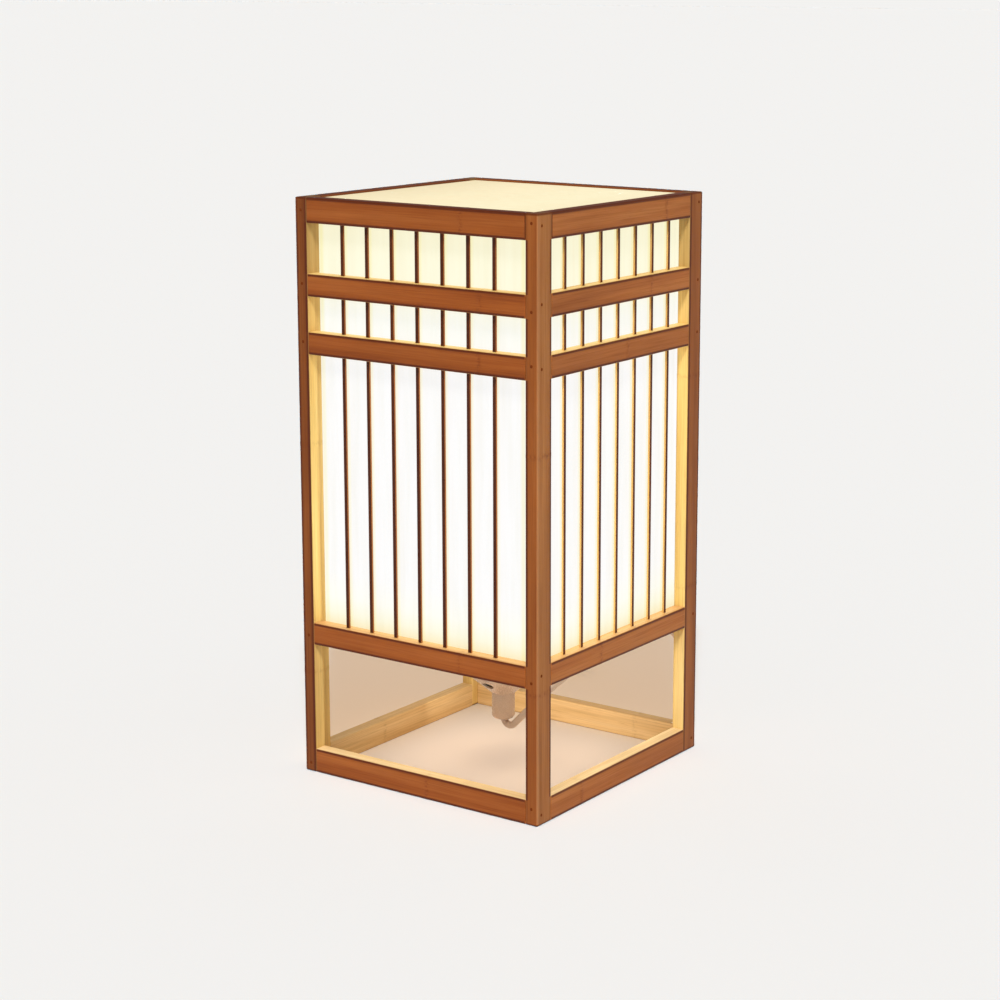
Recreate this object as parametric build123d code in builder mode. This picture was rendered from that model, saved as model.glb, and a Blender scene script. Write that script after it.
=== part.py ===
from build123d import *
import os
from math import cos, pi, radians, sin, sqrt, tan

# A square floor lamp of bamboo strips. Four posts and five rings of rails make an open cage that
# stands on its lowest ring. Translucent sheets line the cage behind thin upright slats, and a bulb
# stands inside on a steel bracket. The origin is on the floor at the middle of the cage, +Z is up,
# the front is -Y and the right-hand side is +X.

# ---- frame ----
width = 250.0  # over the posts, along X
depth = 250.0  # over the posts, along Y
post_w = 12.0  # a post along X
post_d = 20.0  # a post along Y
rail_t = 12.0  # every rail, across its side of the lamp
outer_rail_h = 21.5  # the rails of the base and of the top
inner_rail_h = 19.5  # the three rings of rails between them
base_gap = 95.2  # clear height of the opening under the shade
main_gap = 236.6  # clear height of the tall tier
band_gap = 30.3  # clear height of the low tier above it
crown_gap = 42.9  # clear height of the top tier
arris = 0.7  # the eased edges of posts and rails

# ---- headless brads through the posts into the ends of the rails ----
pin_w = 1.4
pin_h = 1.6
pin_grip = 16.0  # how far a pin goes into a rail
pin_sink = 0.2  # how far a pin's end lies below the face of its post
pin_fit = 0.05  # on each side
pin_rise_x = 2.0  # pins along X, above the middle of the rail
pin_rise_y = -4.0  # pins along Y, below the middle of the rail

# ---- slats ----
slat_count = 7  # on each side
slat_pitch = 26.25
slat_w = 3.4  # across the side
slat_d = 2.0  # through the side
slat_seat = 6.0  # depth of the holes in the lower and the top rail
slat_fit = 0.06  # each side of a slat in its hole
slat_top_play = 0.5  # above a slat in the top rail

# ---- shade ----
sheet_t = 0.5
sheet_side_gap = 3.4  # between a sheet's upright edge and the post
sheet_lap = 8.5  # how far a sheet reaches down behind the lower rail
panel_t = 1.0
panel_drop = 1.5  # the top panel below the top of the frame
panel_fit = 0.3  # round the top panel
ledge_w = 4.0
ledge_h = 6.0

# ---- bracket for the lampholder ----
bracket_t = 1.5
bracket_z = 84.0  # underside of its round middle
disc_r = 31.0
arm_w = 16.0
arm_flat = 36.0  # from the middle to the first bend
arm_bend_r = 3.0  # at the middle of the sheet
tab_h = 9.5
tab_rise = 1.0  # the tab's lower end above the lower rail's underside
screw_pitch = 9.0
screw_r = 1.45
screw_fit = 0.1
screw_l = 10.0  # in the wood
screw_head_r = 2.9
screw_head_h = 1.7

# ---- lampholder ----
tube_r = 5.0
tube_bore_r = 4.0
tube_fit = 0.1
tube_l = 42.0
grip_r = 10.35
grip_z = 38.0  # where the cord comes out
grip_h = 24.0
grip_round = 3.0
grip_bore_l = 8.0  # how far the cord goes in
grip_mouth = 0.9
wire_r = 2.2
cup_r = 30.0
cup_angle = 50.0  # between the cone and the lamp's axis
cup_wall = 1.6
cup_floor_t = 2.4
cup_edge = 0.8
vent_r = 5.5
vent_at = 23.5  # a vent's middle from the axis
vent_count = 4
shell_foot_r = 13.5
shell_r = 19.5
shell_foot_h = 9.5
shell_h = 55.5
shell_floor_t = 13.5
shell_bore_r = 16.6
rim_bead = 0.8
rim_bead_h = 3.0
flute_count = 12
flute_r = 1.6
insert_fit = 0.1
insert_h = 32.0
insert_floor_t = 4.5
thread_r = 13.85  # outside of the brass shell
thread_t = 0.6
thread_h = 25.5
thread_slack = 0.06
contact_w = 6.0
contact_t = 0.5
contact_l = 9.0
contact_rise = 3.5

# ---- bulb ----
cap_fit = 0.08  # radial, in the brass shell
cap_tip_r = 4.6
cap_tip_h = 1.0
cap_cone_h = 4.2
cap_neck_r = 9.5
cap_edge = 1.0
cap_l = 26.2
tip_play = 0.3
bulb_neck_r = 13.4
bulb_neck_h = 6.0
bulb_waist_r = 21.0
bulb_waist_h = 26.0
bulb_shoulder_r = 29.0
bulb_body_h = 46.0
bulb_r = 30.5

# ---- cord ----
cord_r = 3.2
cord_play = 0.1  # between the cord and the floor
clip_fit = 0.15
clip_wall = 1.5
clip_l = 6.0
clip_boss_h = 3.6
clip_boss_t = 5.0
nail_r = 0.8
nail_l = 14.0
nail_head_r = 1.7
nail_head_t = 0.8
nail_fit = 0.05

# ---- switch on the cord ----
switch_l = 54.0
switch_w = 19.0
switch_h = 12.8
switch_round = 6.0
switch_edge = 1.4
switch_x = 0.0
switch_y = 137.0
switch_bore_l = 5.0
cord_fit = 0.15
rocker_l = 16.0
rocker_w = 8.8
rocker_gap = 0.5  # at each end of the rocker
rocker_side_gap = 0.2
rocker_tilt = 8.0  # degrees either way
rocker_pivot_z = 9.6
rocker_mid_rise = 1.5
rocker_end_rise = 2.7
rocker_keel = 2.4
rocker_keel_l = 5.0
pivot_r = 1.0
pivot_l = 1.4  # into each side wall
pivot_fit = 0.05

# ---- coil of spare cord, with its tie, and the plug on it ----
coil_x = -141.0
coil_y = 232.0
coil_mean_r = 35.0
coil_lift = 0.9
coil_rows = 3  # turns side by side
coil_layers = 2
coil_ease = 0.2  # beside the turns, on each side
coil_bevel = 2.0  # at the four corners of its section
tie_w = 6.0
tie_t = 0.5
tie_fit = 0.3
tie_angle = -25.0
plug_l = 32.0
plug_w = 24.0
plug_t = 14.0
plug_round = 5.0
plug_waist_w = 15.0
plug_waist_t = 11.0
plug_play = 0.3  # between the plug and the coil
relief_l = 22.0
relief_r = 5.2
relief_tip_r = 4.1
blade_l = 17.0
blade_in = 5.0
blade_h = 6.3
blade_t = 1.5
blade_pitch = 12.7
blade_hole_r = 1.5
blade_hole_at = 3.6

# ---- places worked out from the sizes ----
half_w = width / 2
half_d = depth / 2
rail_len_x = width - 2 * post_w  # front and back rails, between the posts
rail_len_y = depth - 2 * post_d  # side rails, between the posts
inner_x = half_w - rail_t  # inner face of the side rails
inner_y = half_d - rail_t  # inner face of the front and back rails

# name, underside and height of each ring of rails, from the floor up
levels = []
rung = 0.0
for level_name, level_h, gap_above in (
    ("base", outer_rail_h, base_gap),
    ("lower", inner_rail_h, main_gap),
    ("middle", inner_rail_h, band_gap),
    ("upper", inner_rail_h, crown_gap),
    ("top", outer_rail_h, 0.0),
):
    levels.append((level_name, rung, level_h))
    rung += level_h + gap_above
height = rung
level_z = {name: z for name, z, h in levels}
lower_z = level_z["lower"]
lower_top = lower_z + inner_rail_h
top_z = level_z["top"]

# each side of the lamp: middle of its rails, their size in plan, and whether it runs along X
rail_x = half_w - rail_t / 2
rail_y = half_d - rail_t / 2
sides = {
    "front": (0.0, -rail_y, rail_len_x, rail_t, True),
    "back": (0.0, rail_y, rail_len_x, rail_t, True),
    "left": (-rail_x, 0.0, rail_t, rail_len_y, False),
    "right": (rail_x, 0.0, rail_t, rail_len_y, False),
}
pin_hole = (pin_w + 2 * pin_fit, pin_h + 2 * pin_fit)
slat_steps = [(i - (slat_count - 1) / 2) * slat_pitch for i in range(slat_count)]
slat_places = {
    side: [(x + s, y) if along_x else (x, y + s) for s in slat_steps]
    for side, (x, y, sx, sy, along_x) in sides.items()
}

# lampholder, from the cord's exit up
cup_z = grip_z + grip_h
cup_slope = tan(radians(cup_angle))
cup_cone_h = (cup_r - grip_r) / cup_slope
cup_lift = cup_wall / sin(radians(cup_angle))  # the cone's inner face above its outer one
bracket_top = bracket_z + bracket_t
insert_z = bracket_top + shell_floor_t
insert_r = shell_bore_r - insert_fit
thread_z = insert_z + insert_floor_t
thread_bore_r = thread_r - thread_t
contact_top = thread_z + contact_rise + contact_t
cap_z = contact_top + tip_play
cap_r = thread_bore_r - cap_fit
body_z = cap_z + cap_l
globe_z = body_z + bulb_body_h
tube_z = bracket_top + shell_floor_t - tube_l

# cord
cord_d = 2 * cord_r
floor_z = cord_r + cord_play
cord_top_z = grip_z + grip_bore_l
clip_x = inner_x - cord_r - clip_fit
clip_z = lower_z + 1.9
switch_mid_z = switch_h / 2
switch_reach = switch_l / 2 - switch_bore_l
coil_top = coil_lift + cord_d + (coil_layers - 1) * cord_d * sqrt(3) / 2
coil_half = coil_rows * cord_r + coil_ease
plug_z = coil_top + plug_play + plug_t / 2
plug_x = coil_x - 6.0
plug_y = coil_y + 23.0

# Free runs of the cord as points, from the grip to the switch, on to the coil, and to the plug.
lead_points = [
    (0.0, 0.0, cord_top_z),
    (0.0, 0.0, 34.6),
    (8.7, 0.0, 31.0),
    (44.0, 1.0, 67.5),
    (72.0, 4.5, 94.0),
    (91.5, 13.5, 108.5),
    (104.5, 29.0, 116.5),
    (clip_x, 52.0, clip_z),
    (clip_x, 96.0, clip_z),
    (109.9, 117.0, 104.5),
    (109.2, 131.0, 84.5),
    (108.0, 138.5, 60.5),
    (107.2, 140.5, 23.0),
    (88.0, 141.5, floor_z),
    (60.0, 139.5, floor_z),
    (41.0, switch_y, switch_mid_z),
    (switch_x + switch_reach, switch_y, switch_mid_z),
]
run_points = [
    (switch_x - switch_reach, switch_y, switch_mid_z),
    (-41.0, switch_y, switch_mid_z),
    (-64.0, 138.8, floor_z),
    (-98.0, 145.0, floor_z),
    (-126.0, 153.0, floor_z),
    (-149.0, 169.0, floor_z),
    (-166.0, 190.0, floor_z + 0.3),
    (-178.0, 213.0, coil_lift + cord_r),
]
tail_points = [
    (coil_x - 40.0, coil_y - 24.7, 9.8),
    (coil_x - 43.9, coil_y - 13.9, 11.2),
    (coil_x - 43.3, coil_y + 2.6, 14.2),
    (coil_x - 34.1, coil_y + 16.3, 18.2),
    (coil_x - 19.0, plug_y, plug_z),
    (plug_x, plug_y, plug_z),
]
# the clips hold the cord on its straight run along the lower rail
clip_places = [66.0, 82.0]

os.makedirs("parts", exist_ok=True)


def save(part, name):
    """Labels a finished piece and writes it."""
    part.label = name
    export_step(part, f"parts/{name}.step")


def rounded_path(points):
    """The radii of a cord's bends, one for each inner point, and the turn at each in degrees."""
    radii, turns = [], []
    for before, here, after in zip(points, points[1:], points[2:]):
        a, b = Vector(here) - Vector(before), Vector(after) - Vector(here)
        turn = a.get_angle(b)
        radii.append(0.45 * min(a.length, b.length) / tan(radians(turn / 2)))
        turns.append(turn)
    return radii, turns


# ---- posts ----
for end, sy in (("front", -1), ("back", 1)):
    for hand, sx in (("left", -1), ("right", 1)):
        post_x, post_y = sx * (half_w - post_w / 2), sy * (half_d - post_d / 2)
        with BuildPart() as post:
            with BuildSketch(Plane.XY):
                with Locations((post_x, post_y)):
                    Rectangle(post_w, post_d)
            extrude(amount=height)
            chamfer(post.edges(), arris)
            for name, z, h in levels:
                with BuildSketch(Plane.YZ.offset(post_x)):
                    with Locations((sy * rail_y, z + h / 2 + pin_rise_x)):
                        Rectangle(*pin_hole)
                extrude(amount=post_w, both=True, mode=Mode.SUBTRACT)
                with BuildSketch(Plane.XZ.offset(-post_y)):
                    with Locations((sx * rail_x, z + h / 2 + pin_rise_y)):
                        Rectangle(*pin_hole)
                extrude(amount=post_d, both=True, mode=Mode.SUBTRACT)
        save(post.part, f"post_{end}_{hand}")

# ---- rails, with the holes of their slats, pins and screws ----
screw_z = lower_z + tab_rise + tab_h / 2
nail_z = clip_z + cord_r + clip_fit + clip_wall + clip_boss_h / 2
nail_places = [(y, nail_z) for y in clip_places]
for side, (x, y, size_x, size_y, along_x) in sides.items():
    for name, z, h in levels:
        with BuildPart() as rail:
            with BuildSketch(Plane.XY.offset(z)):
                with Locations((x, y)):
                    Rectangle(size_x, size_y)
            extrude(amount=h)
            chamfer(rail.edges().filter_by(Axis.X if along_x else Axis.Y), arris)
            # the slats pass the middle and the upper rail, and end in the lower and the top one
            slat_cut = {
                "lower": (z + h - slat_seat, slat_seat),
                "middle": (z, h),
                "upper": (z, h),
                "top": (z, slat_seat),
            }
            if name in slat_cut:
                cut_z, cut_h = slat_cut[name]
                with BuildSketch(Plane.XY.offset(cut_z)):
                    with Locations(*slat_places[side]):
                        if along_x:
                            Rectangle(slat_w + 2 * slat_fit, slat_d + 2 * slat_fit)
                        else:
                            Rectangle(slat_d + 2 * slat_fit, slat_w + 2 * slat_fit)
                extrude(amount=cut_h, mode=Mode.SUBTRACT)
            for s in (-1, 1):
                if along_x:
                    end_plane = Plane.YZ.offset(s * rail_len_x / 2)
                    pin_place, inward = (y, z + h / 2 + pin_rise_x), -s
                else:
                    end_plane = Plane.XZ.offset(s * rail_len_y / 2)
                    pin_place, inward = (x, z + h / 2 + pin_rise_y), -s
                with BuildSketch(end_plane):
                    with Locations(pin_place):
                        Rectangle(*pin_hole)
                extrude(amount=inward * pin_grip, mode=Mode.SUBTRACT)
            if name == "lower" and along_x:
                face_sign = -1 if side == "front" else 1
                with BuildSketch(Plane.XZ.offset(-face_sign * inner_y)):
                    with Locations((-screw_pitch / 2, screw_z), (screw_pitch / 2, screw_z)):
                        Circle(screw_r + screw_fit)
                extrude(amount=-face_sign * screw_l, mode=Mode.SUBTRACT)
            if name == "lower" and side == "right":
                with BuildSketch(Plane.YZ.offset(inner_x)):
                    with Locations(*nail_places):
                        Circle(nail_r + nail_fit)
                extrude(amount=nail_l - clip_boss_t, mode=Mode.SUBTRACT)
        save(rail.part, f"{name}_rail_{side}")

# ---- pins, flush with the outer faces of the posts ----
with BuildPart() as rail_pins:
    for sx in (-1, 1):
        for sy in (-1, 1):
            for name, z, h in levels:
                with BuildSketch(Plane.YZ.offset(sx * (half_w - pin_sink))):
                    with Locations((sy * rail_y, z + h / 2 + pin_rise_x)):
                        Rectangle(pin_w, pin_h)
                extrude(amount=-sx * (post_w - pin_sink + pin_grip))
                with BuildSketch(Plane.XZ.offset(-sy * (half_d - pin_sink))):
                    with Locations((sx * rail_x, z + h / 2 + pin_rise_y)):
                        Rectangle(pin_w, pin_h)
                extrude(amount=sy * (post_d - pin_sink + pin_grip))
save(rail_pins.part, "rail_pins")

# ---- slats, flat strips that each run through the three tiers ----
slat_foot = lower_top - slat_seat
slat_head = top_z + slat_seat - slat_top_play
for side, (x, y, size_x, size_y, along_x) in sides.items():
    with BuildPart() as slats:
        with BuildSketch(Plane.XY.offset(slat_foot)):
            with Locations(*slat_places[side]):
                if along_x:
                    Rectangle(slat_w, slat_d)
                else:
                    Rectangle(slat_d, slat_w)
        extrude(amount=slat_head - slat_foot)
    save(slats.part, f"slats_{side}")

# ---- shade: four sheets behind the rails, ledges and the top panel ----
sheet_foot = lower_top - sheet_lap
panel_z = height - panel_drop - panel_t
for side, (x, y, size_x, size_y, along_x) in sides.items():
    with BuildPart() as sheet:
        with BuildSketch(Plane.XY.offset(sheet_foot)):
            if along_x:
                with Locations((0, (inner_y - sheet_t / 2) * (1 if y > 0 else -1))):
                    Rectangle(rail_len_x - 2 * sheet_side_gap, sheet_t)
            else:
                with Locations(((inner_x - sheet_t / 2) * (1 if x > 0 else -1), 0)):
                    Rectangle(sheet_t, rail_len_y - 2 * sheet_side_gap)
        extrude(amount=panel_z - sheet_foot)
    save(sheet.part, f"shade_{side}")

with BuildPart() as top_panel:
    with BuildSketch(Plane.XY.offset(panel_z)):
        Rectangle(2 * (inner_x - panel_fit), 2 * (inner_y - panel_fit))
    extrude(amount=panel_t)
save(top_panel.part, "top_panel")

ledge_x = inner_x - sheet_t - ledge_w / 2
ledge_y = inner_y - sheet_t - ledge_w / 2
with BuildPart() as panel_ledges:
    with BuildSketch(Plane.XY.offset(panel_z - ledge_h)):
        with Locations((0, -ledge_y), (0, ledge_y)):
            Rectangle(rail_len_x - 2 * sheet_side_gap, ledge_w)
        with Locations((-ledge_x, 0), (ledge_x, 0)):
            Rectangle(ledge_w, rail_len_y - 2 * sheet_side_gap - 2 * ledge_w)
    extrude(amount=ledge_h)
save(panel_ledges.part, "panel_ledges")

# ---- bracket: a round middle with two arms bent up to the lower rails ----
tab_mid_y = inner_y - bracket_t / 2
arm_mid_z = bracket_z + bracket_t / 2
tab_foot = lower_z + tab_rise
with BuildPart() as holder_bracket:
    with BuildSketch(Plane.XY.offset(bracket_z)):
        Circle(disc_r)
    extrude(amount=bracket_t)
    with BuildSketch(Plane.YZ) as arm_section:
        with BuildLine():
            arm_line = FilletPolyline(
                (0, arm_mid_z),
                (arm_flat, arm_mid_z),
                (tab_mid_y, tab_foot),
                (tab_mid_y, tab_foot + tab_h),
                radius=arm_bend_r,
            )
        trace(arm_line, line_width=bracket_t)
    extrude(amount=arm_w / 2, both=True)
    mirror(about=Plane.XZ)
    with BuildSketch(Plane.XY.offset(bracket_z)):
        Circle(tube_r + tube_fit)
    extrude(amount=bracket_t, mode=Mode.SUBTRACT)
    with BuildSketch(Plane.XZ):
        with Locations((-screw_pitch / 2, screw_z), (screw_pitch / 2, screw_z)):
            Circle(screw_r + screw_fit)
    extrude(amount=half_d, both=True, mode=Mode.SUBTRACT)
save(holder_bracket.part, "holder_bracket")

head_y = inner_y - bracket_t
with BuildPart() as bracket_screws:
    with BuildSketch(Plane.XZ.offset(-head_y)):
        with Locations((-screw_pitch / 2, screw_z), (screw_pitch / 2, screw_z)):
            Circle(screw_head_r)
    extrude(amount=screw_head_h)
    chamfer(bracket_screws.faces().sort_by(Axis.Y)[-2:].edges(), screw_head_h / 2)
    with BuildSketch(Plane.XZ.offset(-head_y)):
        with Locations((-screw_pitch / 2, screw_z), (screw_pitch / 2, screw_z)):
            Circle(screw_r)
    extrude(amount=-(bracket_t + screw_l - pin_sink))
    mirror(about=Plane.XZ)
save(bracket_screws.part, "bracket_screws")

# ---- threaded tube that clamps grip, cup, bracket and lampholder together ----
with BuildPart() as threaded_tube:
    with BuildSketch(Plane.XY.offset(tube_z)):
        Circle(tube_r)
        Circle(tube_bore_r, mode=Mode.SUBTRACT)
    extrude(amount=tube_l)
    chamfer(threaded_tube.edges().filter_by(GeomType.CIRCLE), (tube_r - tube_bore_r) / 3)
save(threaded_tube.part, "threaded_tube")

# ---- cord grip: the round neck that the cord comes out of ----
with BuildPart() as cord_grip:
    with BuildSketch(Plane.XY.offset(grip_z)):
        Circle(grip_r)
    extrude(amount=grip_h)
    with BuildSketch(Plane.XY.offset(tube_z)):
        Circle(tube_r + tube_fit)
    extrude(amount=cup_z - tube_z, mode=Mode.SUBTRACT)
    with BuildSketch(Plane.XY.offset(grip_z)):
        Circle(wire_r)
    extrude(amount=grip_h, mode=Mode.SUBTRACT)
    with BuildSketch(Plane.XY.offset(grip_z)):
        Circle(cord_r + cord_fit)
    extrude(amount=grip_bore_l, mode=Mode.SUBTRACT)
    mouth = cord_grip.faces().sort_by(Axis.Z)[0].edges().sort_by(SortBy.LENGTH)
    fillet(mouth[-1], grip_round)
    chamfer(mouth[0], grip_mouth)
save(cord_grip.part, "cord_grip")

# ---- cup: a cone with round vents that hides the wiring ----
with BuildPart() as holder_cup:
    with BuildSketch(Plane.XZ):
        with BuildLine():
            inner_rim_r = cup_r - cup_wall
            inner_rim_z = cup_z + (inner_rim_r - grip_r) / cup_slope + cup_lift
            inner_floor_r = grip_r + (cup_floor_t - cup_lift) * cup_slope
            Polyline(
                (tube_r + tube_fit, cup_z),
                (grip_r, cup_z),
                (cup_r - cup_edge, cup_z + cup_cone_h - cup_edge / cup_slope),
                (cup_r, cup_z + cup_cone_h + cup_edge),
                (cup_r, bracket_z),
                (inner_rim_r, bracket_z),
                (inner_rim_r, inner_rim_z),
                (inner_floor_r, cup_z + cup_floor_t),
                (tube_r + tube_fit, cup_z + cup_floor_t),
                close=True,
            )
        make_face()
    revolve(axis=Axis.Z)
    vent_z = cup_z + (vent_at - grip_r) / cup_slope
    for i in range(vent_count):
        turn = radians(360 / vent_count * i - 90)
        out = cos(radians(cup_angle))
        down = sin(radians(cup_angle))
        vent_plane = Plane(
            origin=(vent_at * cos(turn), vent_at * sin(turn), vent_z),
            z_dir=(out * cos(turn), out * sin(turn), -down),
        )
        with BuildSketch(vent_plane):
            Circle(vent_r)
        extrude(amount=2 * cup_wall, both=True, mode=Mode.SUBTRACT)
save(holder_cup.part, "holder_cup")

# ---- lampholder shell, open at the top, with grip flutes ----
with BuildPart() as holder_shell:
    with BuildSketch(Plane.XZ):
        with BuildLine():
            shell_top = bracket_top + shell_h
            Polyline(
                (tube_r + tube_fit, bracket_top),
                (shell_foot_r, bracket_top),
                (shell_r, bracket_top + shell_foot_h),
                (shell_r, shell_top - rim_bead_h),
                (shell_r + rim_bead, shell_top - rim_bead_h),
                (shell_r + rim_bead, shell_top),
                (shell_bore_r, shell_top),
                (shell_bore_r, insert_z),
                (tube_r + tube_fit, insert_z),
                close=True,
            )
        make_face()
    revolve(axis=Axis.Z)
    with BuildSketch(Plane.XY.offset(bracket_top + shell_foot_h + flute_r)):
        with PolarLocations(shell_r + flute_r / 2, flute_count):
            Circle(flute_r)
    extrude(amount=shell_h - shell_foot_h - rim_bead_h - 2 * flute_r, mode=Mode.SUBTRACT)
save(holder_shell.part, "lampholder_shell")

# ---- socket inside the shell: insulating insert, brass thread shell, centre contact ----
with BuildPart() as socket_insert:
    with BuildSketch(Plane.XY.offset(insert_z)):
        Circle(insert_r)
    extrude(amount=insert_h)
    with BuildSketch(Plane.XY.offset(thread_z)):
        Circle(thread_r + thread_slack)
    extrude(amount=insert_h - insert_floor_t, mode=Mode.SUBTRACT)
save(socket_insert.part, "socket_insert")

with BuildPart() as socket_thread:
    with BuildSketch(Plane.XY.offset(thread_z)):
        Circle(thread_r)
        Circle(thread_bore_r, mode=Mode.SUBTRACT)
    extrude(amount=thread_h)
save(socket_thread.part, "socket_thread")

with BuildPart() as socket_contact:
    with BuildSketch(Plane.XZ):
        with BuildLine():
            contact_mid_z = thread_z + contact_t / 2
            contact_line = Polyline(
                (-contact_l, contact_mid_z),
                (-contact_l / 3, contact_mid_z),
                (-contact_l / 6, contact_mid_z + contact_rise),
                (contact_l / 3, contact_mid_z + contact_rise),
            )
        trace(contact_line, line_width=contact_t)
    extrude(amount=contact_w / 2, both=True)
save(socket_contact.part, "socket_contact")

# ---- bulb: metal cap, plastic body, frosted globe ----
with BuildPart() as bulb_cap:
    with BuildSketch(Plane.XZ):
        with BuildLine():
            Polyline(
                (0, cap_z),
                (cap_tip_r, cap_z),
                (cap_tip_r + cap_tip_h, cap_z + cap_tip_h),
                (cap_neck_r, cap_z + cap_cone_h),
                (cap_r - cap_edge, cap_z + cap_cone_h),
                (cap_r, cap_z + cap_cone_h + cap_edge),
                (cap_r, body_z),
                (0, body_z),
                close=True,
            )
        make_face()
    revolve(axis=Axis.Z)
save(bulb_cap.part, "bulb_cap")

with BuildPart() as bulb_body:
    with BuildSketch(Plane.XZ):
        with BuildLine():
            Polyline(
                (0, body_z),
                (bulb_neck_r, body_z),
                (bulb_neck_r, body_z + bulb_neck_h),
                (bulb_waist_r, body_z + bulb_waist_h),
                (bulb_shoulder_r, globe_z),
                (0, globe_z),
                close=True,
            )
        make_face()
    revolve(axis=Axis.Z)
save(bulb_body.part, "bulb_body")

globe_centre_z = globe_z + sqrt(bulb_r**2 - bulb_shoulder_r**2)
with BuildPart() as bulb_globe:
    with Locations((0, 0, globe_centre_z)):
        Sphere(bulb_r)
    split(bisect_by=Plane.XY.offset(globe_z), keep=Keep.TOP)
save(bulb_globe.part, "bulb_globe")

# ---- cord: the free tubes, and the coil as one ring ----
for name, points in (
    ("cord_lead", lead_points),
    ("cord_run", run_points),
    ("cord_tail", tail_points),
):
    radii, turns = rounded_path(points)
    with BuildPart() as tube:
        with BuildLine() as path:
            FilletPolyline(*points, radius=radii)
        with BuildSketch(Plane(origin=path.wires()[0] @ 0, z_dir=path.wires()[0] % 0)):
            Circle(cord_r)
        sweep(path=path.wires()[0])
    save(tube.part, name)
    length = path.wires()[0].length
    share = tube.part.volume / (pi * cord_r**2 * length)
    print(name, "length", round(length, 1), "volume over section x length", round(share, 4))
    print("  radii", [round(r, 1) for r in radii])
    print("  turns", [round(t) for t in turns])

with BuildPart() as cord_coil:
    with BuildSketch(Plane.XZ.offset(-coil_y)) as coil_section:
        with Locations((coil_x + coil_mean_r, (coil_lift + coil_top) / 2)):
            Rectangle(2 * coil_half, coil_top - coil_lift)
        chamfer(coil_section.vertices(), coil_bevel)
    revolve(axis=Axis((coil_x, coil_y, 0), (0, 0, 1)))
save(cord_coil.part, "cord_coil")

tie_way = radians(tie_angle)
tie_plane = Plane(
    origin=(coil_x + coil_mean_r * cos(tie_way), coil_y + coil_mean_r * sin(tie_way), 0),
    x_dir=(cos(tie_way), sin(tie_way), 0),
    z_dir=(sin(tie_way), -cos(tie_way), 0),
)
with BuildPart() as cord_tie:
    with BuildSketch(tie_plane):
        with Locations((0, (coil_lift + coil_top) / 2)):
            tie_in_w = 2 * (coil_half + tie_fit)
            tie_in_h = coil_top - coil_lift + 2 * tie_fit
            RectangleRounded(tie_in_w + 2 * tie_t, tie_in_h + 2 * tie_t, cord_r + tie_t)
            RectangleRounded(tie_in_w, tie_in_h, cord_r, mode=Mode.SUBTRACT)
    extrude(amount=tie_w / 2, both=True)
save(cord_tie.part, "cord_tie")

# ---- clips that hold the cord to the lower rail, and their nails ----
clip_out_r = cord_r + clip_fit + clip_wall
with BuildPart() as cord_clips:
    for y in clip_places:
        with BuildSketch(Plane.XZ.offset(-y)):
            with Locations((clip_x, clip_z)):
                Circle(clip_out_r)
            with Locations(((clip_x + inner_x) / 2, clip_z)):
                Rectangle(inner_x - clip_x, 2 * clip_out_r)
            with Locations((inner_x - clip_boss_t / 2, nail_z)):
                Rectangle(clip_boss_t, clip_boss_h)
            with Locations((inner_x + clip_out_r, clip_z)):
                Rectangle(2 * clip_out_r, 2 * clip_out_r, mode=Mode.SUBTRACT)
            with Locations((clip_x, clip_z)):
                Circle(cord_r + clip_fit, mode=Mode.SUBTRACT)
            with Locations(((clip_x + inner_x) / 2, clip_z)):
                Rectangle(inner_x - clip_x, 2 * (cord_r + clip_fit), mode=Mode.SUBTRACT)
        extrude(amount=clip_l / 2, both=True)
    with BuildSketch(Plane.YZ.offset(inner_x)):
        with Locations(*nail_places):
            Circle(nail_r + nail_fit)
    extrude(amount=clip_boss_t, both=True, mode=Mode.SUBTRACT)
save(cord_clips.part, "cord_clips")

with BuildPart() as clip_nails:
    with BuildSketch(Plane.YZ.offset(inner_x - clip_boss_t)):
        with Locations(*nail_places):
            Circle(nail_r)
    extrude(amount=nail_l - pin_sink)
    with BuildSketch(Plane.YZ.offset(inner_x - clip_boss_t)):
        with Locations(*nail_places):
            Circle(nail_head_r)
    extrude(amount=-nail_head_t)
save(clip_nails.part, "clip_nails")

# ---- switch: two shells round the cord, and a rocker on its pivot ----
pocket_l = rocker_l + 2 * rocker_gap
pocket_w = rocker_w + 2 * rocker_side_gap
for name, low, high in (
    ("switch_base", cord_play, switch_mid_z),
    ("switch_cover", switch_mid_z, switch_h),
):
    with BuildPart() as switch_half:
        with BuildSketch(Plane.XY.offset(low)):
            with Locations((switch_x, switch_y)):
                RectangleRounded(switch_l, switch_w, switch_round)
        extrude(amount=high - low)
        outer_face = switch_half.faces().sort_by(Axis.Z)[0 if name == "switch_base" else -1]
        chamfer(outer_face.edges(), switch_edge)
        for s in (-1, 1):
            with BuildSketch(Plane.YZ.offset(switch_x + s * switch_reach)):
                with Locations((switch_y, switch_mid_z)):
                    Circle(cord_r + cord_fit)
            extrude(amount=s * 2 * switch_bore_l, mode=Mode.SUBTRACT)
        if name == "switch_cover":
            with BuildSketch(Plane.XY.offset(low)):
                with Locations((switch_x, switch_y)):
                    Rectangle(pocket_l, pocket_w)
            extrude(amount=high - low, mode=Mode.SUBTRACT)
            with BuildSketch(Plane.XZ.offset(-switch_y)):
                with Locations((switch_x, rocker_pivot_z)):
                    Circle(pivot_r + pivot_fit)
            extrude(amount=pocket_w / 2 + pivot_l + pivot_fit, both=True, mode=Mode.SUBTRACT)
    save(switch_half.part, name)

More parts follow.
